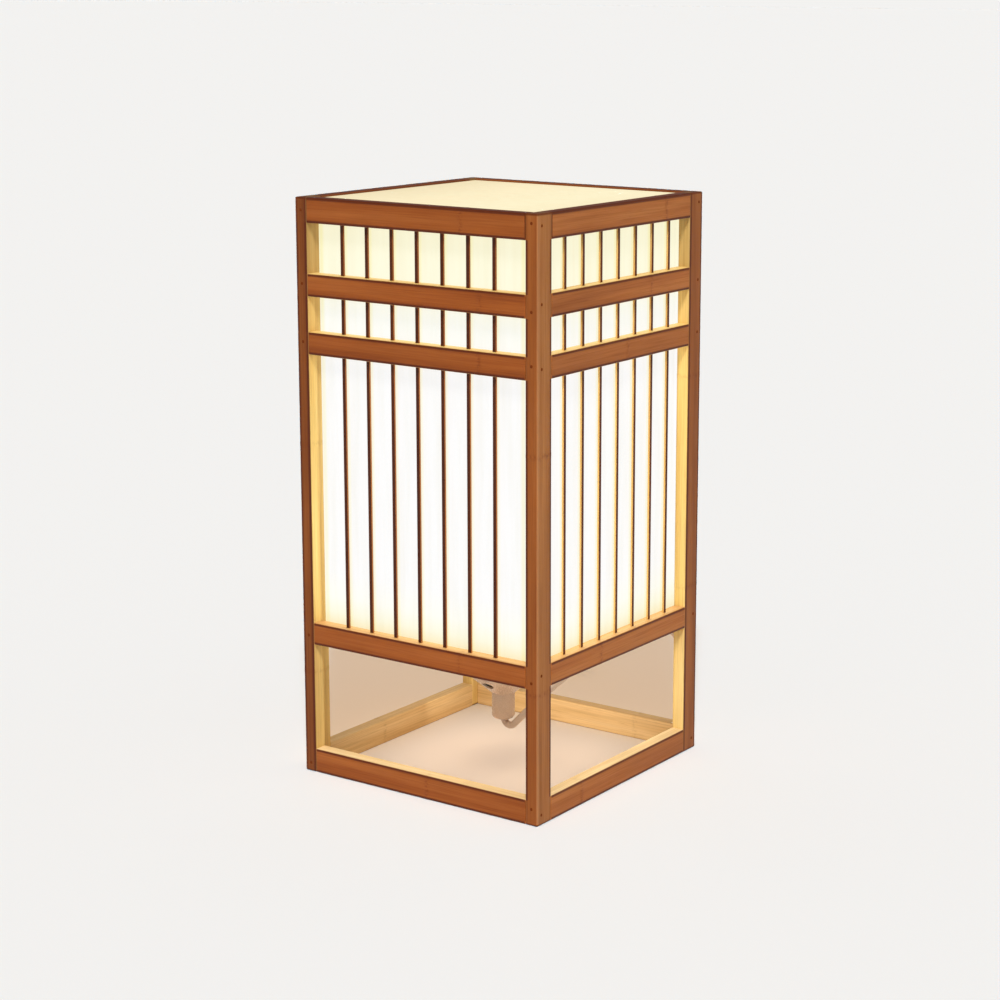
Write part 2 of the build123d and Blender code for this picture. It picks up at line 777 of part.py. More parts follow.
with BuildPart() as switch_rocker:
    lean = radians(rocker_tilt)
    rocker_plane = Plane(
        origin=(switch_x, switch_y, rocker_pivot_z),
        x_dir=(cos(lean), 0, -sin(lean)),
        z_dir=(0, -1, 0),
    )
    with BuildSketch(rocker_plane):
        with BuildLine():
            Polyline(
                (-rocker_l / 2, 0),
                (-rocker_l / 2, rocker_end_rise),
                (0, rocker_mid_rise),
                (rocker_l / 2, rocker_end_rise),
                (rocker_l / 2, 0),
                (rocker_keel_l / 2, -rocker_keel),
                (-rocker_keel_l / 2, -rocker_keel),
                close=True,
            )
        make_face()
    extrude(amount=rocker_w / 2, both=True)
    with BuildSketch(rocker_plane):
        Circle(pivot_r)
    extrude(amount=pocket_w / 2 + pivot_l, both=True)
save(switch_rocker.part, "switch_rocker")

# ---- plug with its strain relief, and two flat blades ----
plug_back = plug_x + relief_l
with BuildPart() as plug_body:
    with BuildSketch(Plane.YZ.offset(plug_back)):
        with Locations((plug_y, plug_z)):
            RectangleRounded(plug_waist_w, plug_waist_t, plug_round)
    with BuildSketch(Plane.YZ.offset(plug_back + plug_l / 2)):
        with Locations((plug_y, plug_z)):
            RectangleRounded(plug_w, plug_t, plug_round)
    loft()
    with BuildSketch(Plane.YZ.offset(plug_back + plug_l / 2)):
        with Locations((plug_y, plug_z)):
            RectangleRounded(plug_w, plug_t, plug_round)
    extrude(amount=plug_l / 2)
    with BuildSketch(Plane.YZ.offset(plug_x)):
        with Locations((plug_y, plug_z)):
            Circle(relief_tip_r)
    with BuildSketch(Plane.YZ.offset(plug_back)):
        with Locations((plug_y, plug_z)):
            Circle(relief_r)
    loft()
    with BuildSketch(Plane.YZ.offset(plug_back + plug_l)):
        with Locations((plug_y - blade_pitch / 2, plug_z), (plug_y + blade_pitch / 2, plug_z)):
            Rectangle(blade_t, blade_h)
    extrude(amount=-blade_in, mode=Mode.SUBTRACT)
save(plug_body.part, "plug_body")

with BuildPart() as plug_blades:
    with BuildSketch(Plane.YZ.offset(plug_back + plug_l - blade_in)):
        with Locations((plug_y - blade_pitch / 2, plug_z), (plug_y + blade_pitch / 2, plug_z)):
            Rectangle(blade_t, blade_h)
    extrude(amount=blade_in + blade_l)
    chamfer(plug_blades.faces().sort_by(Axis.X)[-2:].edges().filter_by(Axis.Z), blade_t / 3)
    with BuildSketch(Plane.XZ.offset(-plug_y)):
        with Locations((plug_back + plug_l + blade_l - blade_hole_at, plug_z)):
            Circle(blade_hole_r)
    extrude(amount=plug_w, both=True, mode=Mode.SUBTRACT)
save(plug_blades.part, "plug_blades")
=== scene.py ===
"""Dresses the square bamboo lantern lamp: frame, slats, shade, lampholder, bulb and cord.

Every piece is a surface worked out with numpy or a curve, in metres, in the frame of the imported
part: origin on the floor at the middle of the cage, +Z up, the front at -Y.
"""

import logging
import math
from dataclasses import dataclass, field, replace
from enum import Enum

import bpy
import numpy as np
from mathutils import Euler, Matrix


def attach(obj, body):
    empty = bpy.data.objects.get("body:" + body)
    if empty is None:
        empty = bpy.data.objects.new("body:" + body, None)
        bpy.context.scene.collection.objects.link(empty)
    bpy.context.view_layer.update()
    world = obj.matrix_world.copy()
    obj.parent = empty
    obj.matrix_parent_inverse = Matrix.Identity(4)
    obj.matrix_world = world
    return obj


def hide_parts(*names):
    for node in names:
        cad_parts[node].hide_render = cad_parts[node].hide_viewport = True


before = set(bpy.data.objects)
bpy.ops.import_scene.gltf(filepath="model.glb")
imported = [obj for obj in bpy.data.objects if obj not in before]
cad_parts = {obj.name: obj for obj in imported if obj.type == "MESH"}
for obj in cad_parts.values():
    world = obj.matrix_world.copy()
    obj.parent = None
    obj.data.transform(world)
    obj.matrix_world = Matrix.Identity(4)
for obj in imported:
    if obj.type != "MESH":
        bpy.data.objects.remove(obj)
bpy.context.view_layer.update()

log = logging.getLogger("lantern")
Colour = tuple[float, float, float, float]
Point = tuple[float, float, float]
Stops = tuple[tuple[float, Colour], ...]
Thing, Material, Group = bpy.types.Object, bpy.types.Material, bpy.types.Collection
Node, Socket = bpy.types.Node, bpy.types.NodeSocket


def linear(red: int, green: int, blue: int) -> Colour:
    """Turns a colour written in 0 to 255 steps into the shader's linear values, fully opaque.

    Args:
        red: Red step.
        green: Green step.
        blue: Blue step.

    Returns:
        The linear colour.
    """
    steps = np.array([red, green, blue]) / 255.0
    lin = np.where(steps <= 0.04045, steps / 12.92, ((steps + 0.055) / 1.055) ** 2.4)
    return (float(lin[0]), float(lin[1]), float(lin[2]), 1.0)


def grey(level: float) -> Colour:
    """An even grey."""
    return (level, level, level, 1.0)


def tones(*steps: tuple[int, int, int]) -> Stops:
    """The dark, middle and light colour of one kind of wood, at their places on its streaks."""
    return tuple((place, linear(*step)) for place, step in zip(TONE_STOPS, steps))


def add_object(name: str, data: bpy.types.ID) -> Thing:
    """Puts a new object that holds this data into the scene, at the origin."""
    obj = bpy.data.objects.new(name, data)
    bpy.context.scene.collection.objects.link(obj)
    return obj


WHITE = grey(1.0)
# the way out of the lamp on each of its sides
SIDES = {"front": (0, -1), "back": (0, 1), "left": (-1, 0), "right": (1, 0)}
# a knot: how far its rings reach, the width of its swell and of its stain, along the stick
KNOT_REACH, KNOT_SWELL, KNOT_STAIN = 0.005, 0.002, 0.0022
SEAM_FADE = 0.0004
END_RINGS = 4
# edges flatter than this are shaded round
ROUND_BELOW = math.radians(35)
# a face turns from stained to inside where this much of its facing is outward, over this range
INSIDE_FROM, INSIDE_FADE = 0.82, 0.25
# places of a wood's dark, middle and light tone on its streaks
TONE_STOPS = (0.30, 0.50, 0.72)
# noises of the wood: how fine across and along the stick, their octaves and how rough they are
STREAK = (90.0, 3.2, 4.0, 0.60)
FIBRE = (1100.0, 16.0, 3.0, 0.65)
SPECK = (1700.0, 70.0, 2.0, 0.50)
CLOUD = (20.0, 7.0, 2.0, 0.50)
RAG = (420.0, 260.0, 3.0, 0.60)


class Grain(Enum):
    """The way a stick runs, as the axes that take its first side, second side and length."""

    ALONG_X = (1, 2, 0)
    ALONG_Y = (2, 0, 1)
    ALONG_Z = (0, 1, 2)


class Mark(Enum):
    """What a point of a stick tells its finish."""

    INSIDE = "inside"
    # painted shade lines along edges and over a stretch of inner faces, painted highlights where below
    # zero, and darker end rings and top faces
    EDGE = "edge"
    KNOT = "knot"
    # share of a face painted brighter, as if lit more from the right
    PALE = "pale"


class Body(Enum):
    """The rigid bodies that the pieces made here ride on."""

    FRAME = "frame"
    BULB = "bulb"


@dataclass
class LampSizes:
    """Main sizes of the lamp, in metres, as the solids have them."""

    width: float = 0.250
    depth: float = 0.250
    height: float = 0.5065
    post_w: float = 0.012
    post_d: float = 0.020
    rail_t: float = 0.012
    outer_rail_h: float = 0.0215
    inner_rail_h: float = 0.0195
    gaps: tuple[float, ...] = (0.0952, 0.2366, 0.0303, 0.0429)
    slat_count: int = 7
    slat_pitch: float = 0.02625
    slat_w: float = 0.0034
    slat_d: float = 0.002
    slat_seat: float = 0.006
    sheet_t: float = 0.0005
    sheet_lap: float = 0.0085
    sheet_side_gap: float = 0.0034
    panel_drop: float = 0.0015
    panel_t: float = 0.001
    pin_rise_x: float = 0.002
    pin_rise_y: float = -0.004

    @property
    def levels(self) -> dict[str, tuple[float, float]]:
        """Underside and height of each ring of rails, from the floor up."""
        names = ("base", "lower", "middle", "upper", "top")
        outer, inner = self.outer_rail_h, self.inner_rail_h
        heights = (outer, inner, inner, inner, outer)
        rungs, z = {}, 0.0
        for name, tall, gap in zip(names, heights, (*self.gaps, 0.0)):
            rungs[name] = (z, tall)
            z += tall + gap
        return rungs

    @property
    def rail_mid(self) -> tuple[float, float]:
        """Middle of the side rails and of the front and back ones, from the lamp's middle."""
        return (self.width - self.rail_t) / 2, (self.depth - self.rail_t) / 2

    @property
    def inner_x(self) -> float:
        """Inner face of the side rails from the middle."""
        return self.width / 2 - self.rail_t

    @property
    def inner_y(self) -> float:
        """Inner face of the front and back rails from the middle."""
        return self.depth / 2 - self.rail_t


# ---------------------------------------------------------------- surfaces


def grid_faces(rows: int, cols: int, wrap: bool) -> np.ndarray:
    """Quads between neighbouring rows and columns of a grid of points.

    Args:
        rows: Number of rows.
        cols: Number of points in a row.
        wrap: Whether the last column joins the first.

    Returns:
        One line of four point numbers for each quad.
    """
    row = np.arange(rows - 1)[:, None] * cols
    col = np.arange(cols if wrap else cols - 1)[None, :]
    here, right = row + col, row + (col + 1) % cols
    return np.stack([here, right, right + cols, here + cols], axis=-1).reshape(-1, 4)


@dataclass
class Surface:
    """Points and faces of one or more closed surfaces that make one piece."""

    points: np.ndarray = field(default_factory=lambda: np.zeros((0, 3)))
    faces: list[list[int]] = field(default_factory=list)
    marks: np.ndarray = field(default_factory=lambda: np.zeros((0, len(Mark))))

    def add(
        self, points: np.ndarray, faces: list[list[int]], marks: np.ndarray | None = None
    ) -> "Surface":
        """Adds another surface to this piece.

        Args:
            points: Its points, one to a line.
            faces: Its faces, counted from its own first point.
            marks: What each point tells the finish, one column for each kind of mark.

        Returns:
            This piece.
        """
        start = len(self.points)
        points = points.reshape(-1, 3)
        marks = np.zeros((len(points), len(Mark))) if marks is None else marks
        self.points = np.vstack([self.points, points])
        self.marks = np.vstack([self.marks, marks])
        self.faces += [[start + i for i in face] for face in faces]
        return self

    def tube(self, grid: np.ndarray, marks: np.ndarray | None = None) -> "Surface":
        """Adds a closed skin: a grid whose rows are rings, with a fan over each end ring.

        Args:
            grid: Rings of points, rows by columns by three, turning left seen from the end.
            marks: Marks of the same points.

        Returns:
            This piece.
        """
        rows, cols = grid.shape[:2]
        faces = grid_faces(rows, cols, True).tolist()
        ends = np.stack([grid[0].mean(axis=0), grid[-1].mean(axis=0)])
        first, last, turn = rows * cols, rows * cols + 1, (rows - 1) * cols
        ring = np.arange(cols)
        after = (ring + 1) % cols
        fan = np.stack([np.full(cols, first), after, ring], axis=1)
        lid = np.stack([np.full(cols, last), turn + ring, turn + after], axis=1)
        points = np.vstack([grid.reshape(-1, 3), ends])
        if marks is not None:
            lids = np.stack([marks[0].mean(axis=0), marks[-1].mean(axis=0)])
            marks = np.vstack([marks.reshape(rows * cols, -1), lids])
        return self.add(points, faces + fan.tolist() + lid.tolist(), marks)

    def loop(self, grid: np.ndarray) -> "Surface":
        """Adds a skin that closes on itself both ways, as on a ring or a hollow turned piece.

        Args:
            grid: Rings of points, rows by columns by three.

        Returns:
            This piece.
        """
        rows, cols = grid.shape[:2]
        faces = grid_faces(rows + 1, cols, True) % (rows * cols)
        return self.add(grid.reshape(-1, 3), faces.tolist())

    def made(self, name: str) -> Thing:
        """Makes the piece's mesh, at the origin, with its marks.

        Args:
            name: Name of the piece.

        Returns:
            The new object.
        """
        mesh = bpy.data.meshes.new(name)
        mesh.from_pydata(self.points.tolist(), [], self.faces)
        for column, mark in enumerate(Mark):
            if self.marks[:, column].any():
                layer = mesh.attributes.new(mark.value, "FLOAT", "POINT")
                layer.data.foreach_set("value", self.marks[:, column])
        mesh.update()
        mesh.shade_smooth()
        mesh.set_sharp_from_angle(angle=ROUND_BELOW)
        return add_object(name, mesh)


def register(obj: Thing, body: Body, material: Material, slot: str, *nodes: str) -> None:
    """Dresses a new piece, makes it ride on its body and hides the nodes that it replaces.

    Args:
        obj: The piece.
        body: Body that it rides on.
        material: Its finish.
        slot: Not used.
        *nodes: Nodes that it replaces.
    """
    obj.data.materials.append(material)
    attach(obj, body.value)
    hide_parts(*nodes)
    log.info("%s on %s, %s", obj.name, body.value, material.name)


def dress(material: Material, *nodes: str) -> None:
    """Gives carried-over nodes their finish."""
    for node in nodes:
        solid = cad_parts[node].data
        solid.materials.clear()
        solid.materials.append(material)
        log.info("%s keeps its solid, %s", node, material.name)


def rounded_ring(
    width: float, depth: float, radius: float, border: tuple[float, float]
) -> tuple[np.ndarray, np.ndarray, np.ndarray, np.ndarray]:
    """Outline of a rectangle whose corners are quarter circles about their own centres.

    Each corner has two more points on either side of its arc, where its painted line along the
    edge starts to fade and where it has faded. Together they take at most a third of the face.

    Args:
        width: Size along the first axis.
        depth: Size along the second axis.
        radius: Radius of the corners.
        border: Width of the full painted line beside the arc, and of its fade.

    Returns:
        Points of the outline, turning left, the way that each faces, the signs of its corner,
        and the share of the line that it has, 1 on the line and 0 where it has faded.
    """
    signs = np.array([(1, 1), (-1, 1), (-1, -1), (1, -1)], float)
    centres = signs * np.array([width / 2 - radius, depth / 2 - radius])
    turn = np.array([0, 0, 0, 0.25, 0.5, 0.75, 1, 1, 1]) * math.pi / 2
    angle = np.arange(4)[:, None] * math.pi / 2 + turn
    facing = np.stack([np.cos(angle), np.sin(angle)], axis=2)
    ring = centres[:, None, :] + radius * facing
    sides = np.array([(depth, width), (width, depth), (depth, width), (width, depth)])
    fit = np.minimum(1.0, (sides - 2 * radius) / 3 / sum(border))
    quarter = np.stack([-facing[:, 0, 1], facing[:, 0, 0]], axis=1)
    for point, back in ((0, sum(border)), (1, border[0])):
        ring[:, point] -= back * fit[:, :1] * quarter
        ring[:, -1 - point] -= back * fit[:, 1:] * facing[:, 0]
    share = np.tile([0.0, 1.0, 1.0, 1.0, 1.0, 1.0, 1.0, 1.0, 0.0], 4)
    return ring.reshape(-1, 2), facing.reshape(-1, 2), np.repeat(signs, len(turn), axis=0), share


@dataclass
class Stick:
    """A straight stick: a rounded rectangle carried along its length.

    The outline draws in over a quarter circle at each end, and swells by a bell curve at each
    knot. Its marks come from the way that each point of the outline faces, given as first and
    second side: `outward` holds the ways of its stained faces, `pale` the way of the faces
    painted brighter as if lit more, `dark_face` that of a face darkened all over and
    `painted_edge_lines` its edges with a painted shade line, or a painted highlight where the
    strength is below zero, each by the signs of its corner with a strength. `seams` are
    stretches along it where another stick butts against it, and `seam_share` what is left there
    of the painted edge shade. `painted_shade_span` is a stretch whose inner faces are painted
    darker, as shade, with how much.
    """

    size: tuple[float, float, float]
    centre: Point
    grain: Grain
    arris: float = 0.0004
    end_ease: float = 0.0003
    knots: tuple[float, ...] = ()
    swell: float = 0.0
    outward: tuple[tuple[float, float], ...] = ()
    painted_edge_lines: tuple[tuple[float, float, float], ...] = ()
    border: tuple[float, float] = (0.0007, 0.0010)
    pale: tuple[float, float] | None = None
    dark_face: tuple[float, float] | None = None
    dark_end: float = 0.0
    seams: tuple[tuple[float, float], ...] = ()
    seam_share: float = 0.6
    painted_shade_span: tuple[float, float, float] | None = None

    def along(self) -> tuple[np.ndarray, np.ndarray]:
        """Places of the rings along the stick, and how far each draws in."""
        half, ease_l = self.size[2] / 2, self.end_ease
        ease = np.array([0.0, 0.3, 0.65, 1.0])  # END_RINGS of them
        draw_in = ease_l * (1 - np.sqrt(1 - (1 - ease) ** 2))
        middle = np.array([-half + 2 * ease_l, half - 2 * ease_l])
        near = [knot + np.linspace(-KNOT_REACH, KNOT_REACH, 13) for knot in self.knots]
        for low, high in self.seams:
            near.append(np.array([low, low + SEAM_FADE, high - SEAM_FADE, high]))
        middle = np.unique(np.concatenate([middle, *near]))
        middle = middle[np.abs(middle) <= half - 2 * ease_l]
        places = np.concatenate([-half + ease * ease_l, middle, half - ease[::-1] * ease_l])
        return places, np.concatenate([draw_in, np.zeros(len(middle)), draw_in[::-1]])

    def rings(self) -> np.ndarray:
        """The stick's rings of points, rings by points by three."""
        across, through, _ = self.size
        places, inset = self.along()
        bells = [np.exp(-(((places - knot) / KNOT_SWELL) ** 2)) for knot in self.knots]
        grow = self.swell * sum(bells, np.zeros(len(places))) - inset
        ring, _, _, _ = rounded_ring(across, through, self.arris, self.border)
        local = np.zeros((len(places), len(ring), 3))
        local[:, :, 0] = ring[None, :, 0] * (1 + 2 * grow[:, None] / across)
        local[:, :, 1] = ring[None, :, 1] * (1 + 2 * grow[:, None] / through)
        local[:, :, 2] = places[:, None]
        placed = np.zeros_like(local)
        for axis, world in enumerate(self.grain.value):
            placed[:, :, world] = local[:, :, axis]
        return placed + np.array(self.centre)

    def marks(self) -> np.ndarray:
        """The marks of the same points.

        A point is inside where little of its facing, root of the sum of squares, lies along
        the outward ways. A painted shade line is full on its corner and fades along the stained
        faces beside it, a painted highlight only along the face of the first way.
        """
        places, _ = self.along()
        _, facing, corner, share = rounded_ring(*self.size[:2], self.arris, self.border)
        marks = np.zeros((len(places), len(facing), len(Mark)))
        inside, edge, stain, pale = np.moveaxis(marks, 2, 0)
        if self.outward:
            along = np.maximum(facing @ np.array(self.outward).T, 0)
            stained = np.sqrt((along**2).sum(axis=1))
            inside[:] = np.clip((INSIDE_FROM - stained) / INSIDE_FADE, 0, 1)
        weak = np.ones((len(places), 1))
        for low, high in self.seams:
            weak[(places > low) & (places < high)] = self.seam_share
        # painted shade lines along edges, painted highlights where the strength is below zero
        for first, second, strength in self.painted_edge_lines:
            line = strength * share * (corner @ np.array([first, second]) > 1.5)
            if strength < 0:
                edge += line * (facing[:, 0] * first > 0.3)
            else:
                edge += weak * line * (1 - inside)
        # painted shade over the inner faces of one stretch
        if self.painted_shade_span is not None:
            low, high, much = self.painted_shade_span
            edge += much * inside * ((places > low) & (places < high))[:, None]
        if self.dark_face is not None:
            edge += self.dark_end * (facing @ np.array(self.dark_face) > 0.9)
        if self.pale is not None:
            pale[:] = np.clip(facing @ np.array(self.pale), 0, 1)
        for knot in self.knots:
            stain += np.exp(-(((places - knot) / KNOT_STAIN) ** 2))[:, None]
        edge[:END_RINGS] = edge[-END_RINGS:] = self.dark_end
        return marks

    def on(self, piece: Surface) -> Surface:
        """Adds the stick to a piece."""
        return piece.tube(self.rings(), self.marks())


def turned(profile: np.ndarray, steps: int = 64) -> np.ndarray:
    """A turned surface: each point of the profile goes once round the upright axis.

    Args:
        profile: Radius and height of each point, from the bottom up on the outer side.
        steps: Points round the axis.

    Returns:
        Rings by points by three.
    """
    angle = np.linspace(0, 2 * math.pi, steps, endpoint=False)
    rings = np.zeros((len(profile), steps, 3))
    rings[:, :, 0] = profile[:, :1] * np.cos(angle)
    rings[:, :, 1] = profile[:, :1] * np.sin(angle)
    rings[:, :, 2] = profile[:, 1:]
    return rings


# ---------------------------------------------------------------- finishes


class Bench:
    """Adds and links the shader nodes of one material, or of the world."""

    def __init__(self, name: str, world: bool = False) -> None:
        """Starts an empty one.

        Args:
            name: Its name.
            world: Whether it is a world.
        """
        self.made = (bpy.data.worlds if world else bpy.data.materials).new(name)
        self.made.use_nodes = True
        self.tree = self.made.node_tree
        self.tree.nodes.clear()
        self.output = self.node("OutputWorld" if world else "OutputMaterial")

    def node(self, kind: str, **settings: object) -> Node:
        """Adds a node and sets its own properties.

        Args:
            kind: Blender's name for the kind of node, without its prefix.
            **settings: Properties of the node.

        Returns:
            The node.
        """
        made = self.tree.nodes.new("ShaderNode" + kind)
        for key, value in settings.items():
            setattr(made, key, value)
        return made

    def link(self, start: Socket, end: Socket) -> None:
        """Joins an output to an input."""
        self.tree.links.new(start, end)

    @staticmethod
    def feed(node: Node, **values: object) -> None:
        """Sets a node's sockets by name, with underscores for spaces."""
        for key, value in values.items():
            node.inputs[key.replace("_", " ")].default_value = value

    def give(self, value: object, end: Socket) -> None:
        """Joins an output to an input, or sets the input when the value is plain."""
        if isinstance(value, Socket):
            self.link(value, end)
        else:
            end.default_value = value

    def math(self, operation: str, first: Socket, second: float | Socket = 0.0) -> Socket:
        """Adds one step of arithmetic.

        Args:
            operation: Blender's name for it.
            first: What it works on.
            second: The other value.

        Returns:
            The result.
        """
        step = self.node("Math", operation=operation)
        self.link(first, step.inputs[0])
        self.give(second, step.inputs[1])
        return step.outputs[0]

    def place(self, scale: Point = (1.0, 1.0, 1.0), shift: Point = (0.0, 0.0, 0.0)) -> Socket:
        """Object coordinates, stretched and shifted.

        Args:
            scale: Factor on each axis.
            shift: Added after the factor.

        Returns:
            The coordinates.
        """
        where = self.node("TexCoord")
        mapping = self.node("Mapping")
        self.feed(mapping, Scale=scale, Location=shift)
        self.link(where.outputs["Object"], mapping.inputs["Vector"])
        return mapping.outputs["Vector"]

    def mark(self, mark: Mark) -> Socket:
        """Reads one of the marks of a stick's points."""
        return self.node("Attribute", attribute_name=mark.value).outputs["Fac"]

    def noise(self, vector: Socket, scale: float, detail: float, rough: float = 0.5) -> Socket:
        """Noise about one half.

        Args:
            vector: Where it is read.
            scale: How fine it is.
            detail: Octaves.
            rough: How strong the finer octaves are.

        Returns:
            The value.
        """
        cloud = self.node("TexNoise")
        self.feed(cloud, Scale=scale, Detail=detail, Roughness=rough)
        self.link(vector, cloud.inputs["Vector"])
        return cloud.outputs["Fac"]

    def ramp(self, value: Socket, stops: Stops) -> Socket:
        """Colours along a value.

        Args:
            value: What chooses the colour.
            stops: Places and colours.

        Returns:
            The colour.
        """
        band = self.node("ValToRGB")
        elements = band.color_ramp.elements
        while len(elements) < len(stops):
            elements.new(0.5)
        for element, (place, colour) in zip(elements, stops):
            element.position = place
            element.color = colour
        self.link(value, band.inputs["Fac"])
        return band.outputs["Color"]

    def spread(self, value: Socket, low: float, high: float, first: float, last: float) -> Socket:
        """Maps a value from one range to another, held at the ends.

        Args:
            value: What is mapped.
            low: Start of its range.
            high: End of its range.
            first: Result at the start.
            last: Result at the end.

        Returns:
            The mapped value.
        """
        mapped = self.node("MapRange")
        self.feed(mapped, From_Min=low, From_Max=high, To_Min=first, To_Max=last)
        self.link(value, mapped.inputs["Value"])
        return mapped.outputs["Result"]

    def blend(self, kind: str, share: float | Socket, first: Socket, second: Socket | Colour) -> Socket:
        """Mixes two colours.

        Args:
            kind: Blender's blend type.
            share: How much of the second.
            first: First colour.
            second: Second colour.

        Returns:
            The mix.
        """
        mix = self.node("Mix", data_type="RGBA", blend_type=kind)
        for value, socket in ((share, 0), (first, 6), (second, 7)):
            self.give(value, mix.inputs[socket])
        return mix.outputs[2]

    def shader(self, colour: Socket, rough: Socket | float, **constants: float | Colour) -> Node:
        """Adds the surface shader and joins it to the output.

        Args:
            colour: Base colour.
            rough: Roughness.
            **constants: Other sockets, as feed takes them.

        Returns:
            The shader node.
        """
        surface = self.node("BsdfPrincipled")
        self.link(colour, surface.inputs["Base Color"])
        self.give(rough, surface.inputs["Roughness"])
        self.feed(surface, **constants)
        self.link(surface.outputs[0], self.output.inputs["Surface"])
        return surface

    def mix_shaders(self, share: Socket, first: Node, second: Node) -> None:
        """Joins two shaders to the output.

        Args:
            share: How much of the second.
            first: First shader node.
            second: Second shader node.
        """
        mix = self.node("MixShader")
        for socket, value in enumerate((share, first.outputs[0], second.outputs[0])):
            self.link(value, mix.inputs[socket])
        self.link(mix.outputs[0], self.output.inputs["Surface"])

    def bump(self, surface: Node, height: Socket, strength: float, distance: float) -> None:
        """Roughens a surface by a height.

        Args:
            surface: The shader node.
            height: The height.
            strength: How strong it shows.
            distance: Height of one step, in metres.
        """
        relief = self.node("Bump")
        self.feed(relief, Strength=strength, Distance=distance)
        self.link(height, relief.inputs["Height"])
        self.link(relief.outputs["Normal"], surface.inputs["Normal"])


@dataclass(frozen=True)
class BambooFinish:
    """Bamboo, stained on its outer faces and plain on the inner ones."""

    outer: Stops
    inner: Stops
    # colours of the painted shade lines along edges and of the painted highlight on shiny ones
    edge: Colour
    painted_highlight: Colour
    knot: Colour
    # stains of faces painted brighter, as if lit more
    pale: Stops | None = None
    rough: float = 0.46
    gloss: float = 0.22
    depth: float = 0.8

    def material(
        self, name: str, grain: Grain, seed: float, tone: Point = (1.0, 1.0, 1.0)
    ) -> Material:
        """Makes the material for one stick.

        Streaks are noise stretched along the stick and fibres are finer noise of the same kind.
        The stick's marks choose plain wood on inner faces, a brighter stain on faces painted as lit
        more, a painted shade line along an edge or a painted highlight on a shiny one, and a ragged
        band at a knot.

        Args:
            name: Name of the material.
            grain: The way that the stick runs.
            seed: Moves the pattern, so that no two sticks match.
            tone: Factors on the red, green and blue of its stained faces.

        Returns:
            The material.
        """
        bench = Bench(name)
        along = grain.value[2]
        shift = (seed * 3.1, seed * 5.7, seed * 2.3)

        def stretched(across: float, lengthwise: float, detail: float, rough: float) -> Socket:
            """Noise finer across the stick than along it."""
            scale = [across, across, across]
            scale[along] = lengthwise
            where = bench.place((scale[0], scale[1], scale[2]), shift)
            return bench.noise(where, 1.0, detail, rough)

        streak, fibre, speck, cloud, rag = (
            stretched(*look) for look in (STREAK, FIBRE, SPECK, CLOUD, RAG)
        )
        outer = bench.ramp(streak, self.outer)
        if self.pale is not None:
            painted_lit_side_stain = bench.ramp(streak, self.pale)
            outer = bench.blend("MIX", bench.mark(Mark.PALE), outer, painted_lit_side_stain)
        outer = bench.blend("MULTIPLY", 1.0, outer, (*tone, 1.0))
        inner = bench.ramp(streak, self.inner)
        wood = bench.blend("MIX", bench.mark(Mark.INSIDE), outer, inner)
        for value, share, stops in (
            (fibre, self.depth, ((0.32, (0.76, 0.72, 0.68, 1.0)), (0.56, WHITE))),
            (speck, 0.8 * self.depth, ((0.66, WHITE), (0.77, (0.66, 0.56, 0.48, 1.0)))),
            (cloud, 1.0, ((0.3, grey(0.93)), (0.7, grey(1.06)))),
        ):
            wood = bench.blend("MULTIPLY", share, wood, bench.ramp(value, stops))
        ragged = bench.spread(rag, 0.42, 0.62, 0.0, 0.55)
        fainter = bench.spread(bench.mark(Mark.INSIDE), 0.0, 1.0, 1.0, 0.4)
        knot = bench.math("MULTIPLY", bench.mark(Mark.KNOT), ragged)
        wood = bench.blend("MIX", bench.math("MULTIPLY", knot, fainter), wood, self.knot)
        # painted shade lines and highlights, painted shade over a stretch of inner faces, and darker
        # ends and top faces
        edge = bench.mark(Mark.EDGE)
        for full, colour in ((1.0, self.edge), (-1.0, self.painted_highlight)):
            wood = bench.blend("MIX", bench.spread(edge, 0.0, full, 0.0, 1.0), wood, colour)
        rough = bench.spread(fibre, 0.3, 0.7, self.rough + 0.10, self.rough - 0.04)
        surface = bench.shader(wood, rough, Specular_IOR_Level=self.gloss)
        bench.bump(surface, fibre, 0.18, 0.0002)
        return bench.made


@dataclass(frozen=True)
class SheetFinish:
    """Thin translucent sheet with the lamp alight behind it: white by the bulb, cream away.

    `look` holds the colours that the lit sheet shows, at places along one axis in metres.
    `cream_reach` is how far beside a slat the creamier light is full, and where it ends.
    """

    look: Stops
    axis: int
    body: Colour = (0.12, 0.118, 0.11, 1.0)
    room: float = 0.8
    cream: Colour = linear(255, 249, 200)
    cream_share: float = 0.55
    cream_reach: tuple[float, float] = (0.0008, 0.0034)

    def material(self, name: str, rungs: tuple[int, float, float] | None = None) -> Material:
        """Makes the material.

        Its own light is the look less what the room's light adds, clouded by long faint fibres.
        Beside each slat, at even steps, the light is creamier.

        Args:
            name: Name of the material.
            rungs: Axis that the slats are spread along, their pitch and where the steps start.

        Returns:
            The material.
        """
        bench = Bench(name)
        where = bench.node("SeparateXYZ")
        bench.link(bench.place(), where.inputs[0])
        first, last = self.look[0][0], self.look[-1][0]
        place = bench.spread(where.outputs[self.axis], first, last, 0.0, 1.0)
        stops = []
        for at, colour in self.look:
            own = [max(c - self.room * b, 0.0) for c, b in zip(colour[:3], self.body)]
            stops.append(((at - first) / (last - first), (own[0], own[1], own[2], 1.0)))
        glow = bench.ramp(place, tuple(stops))
        if rungs is not None:
            across, pitch, start = rungs
            shifted = bench.math("SUBTRACT", where.outputs[across], start)
            beside = bench.math("PINGPONG", shifted, pitch / 2)
            share = bench.spread(beside, *self.cream_reach, self.cream_share, 0.0)
            glow = bench.blend("MULTIPLY", share, glow, self.cream)
        pulp = bench.noise(bench.place((120.0, 120.0, 9.0)), 1.0, 5.0, 0.6)
        cloud = bench.ramp(pulp, ((0.3, (0.965, 0.96, 0.93, 1.0)), (0.6, WHITE)))
        glow = bench.blend("MULTIPLY", 1.0, glow, cloud)
        paper = bench.blend("MULTIPLY", 1.0, cloud, self.body)
        surface = bench.shader(paper, 0.62, Emission_Strength=1.0, Specular_IOR_Level=0.1)
        bench.link(glow, surface.inputs["Emission Color"])
        return bench.made


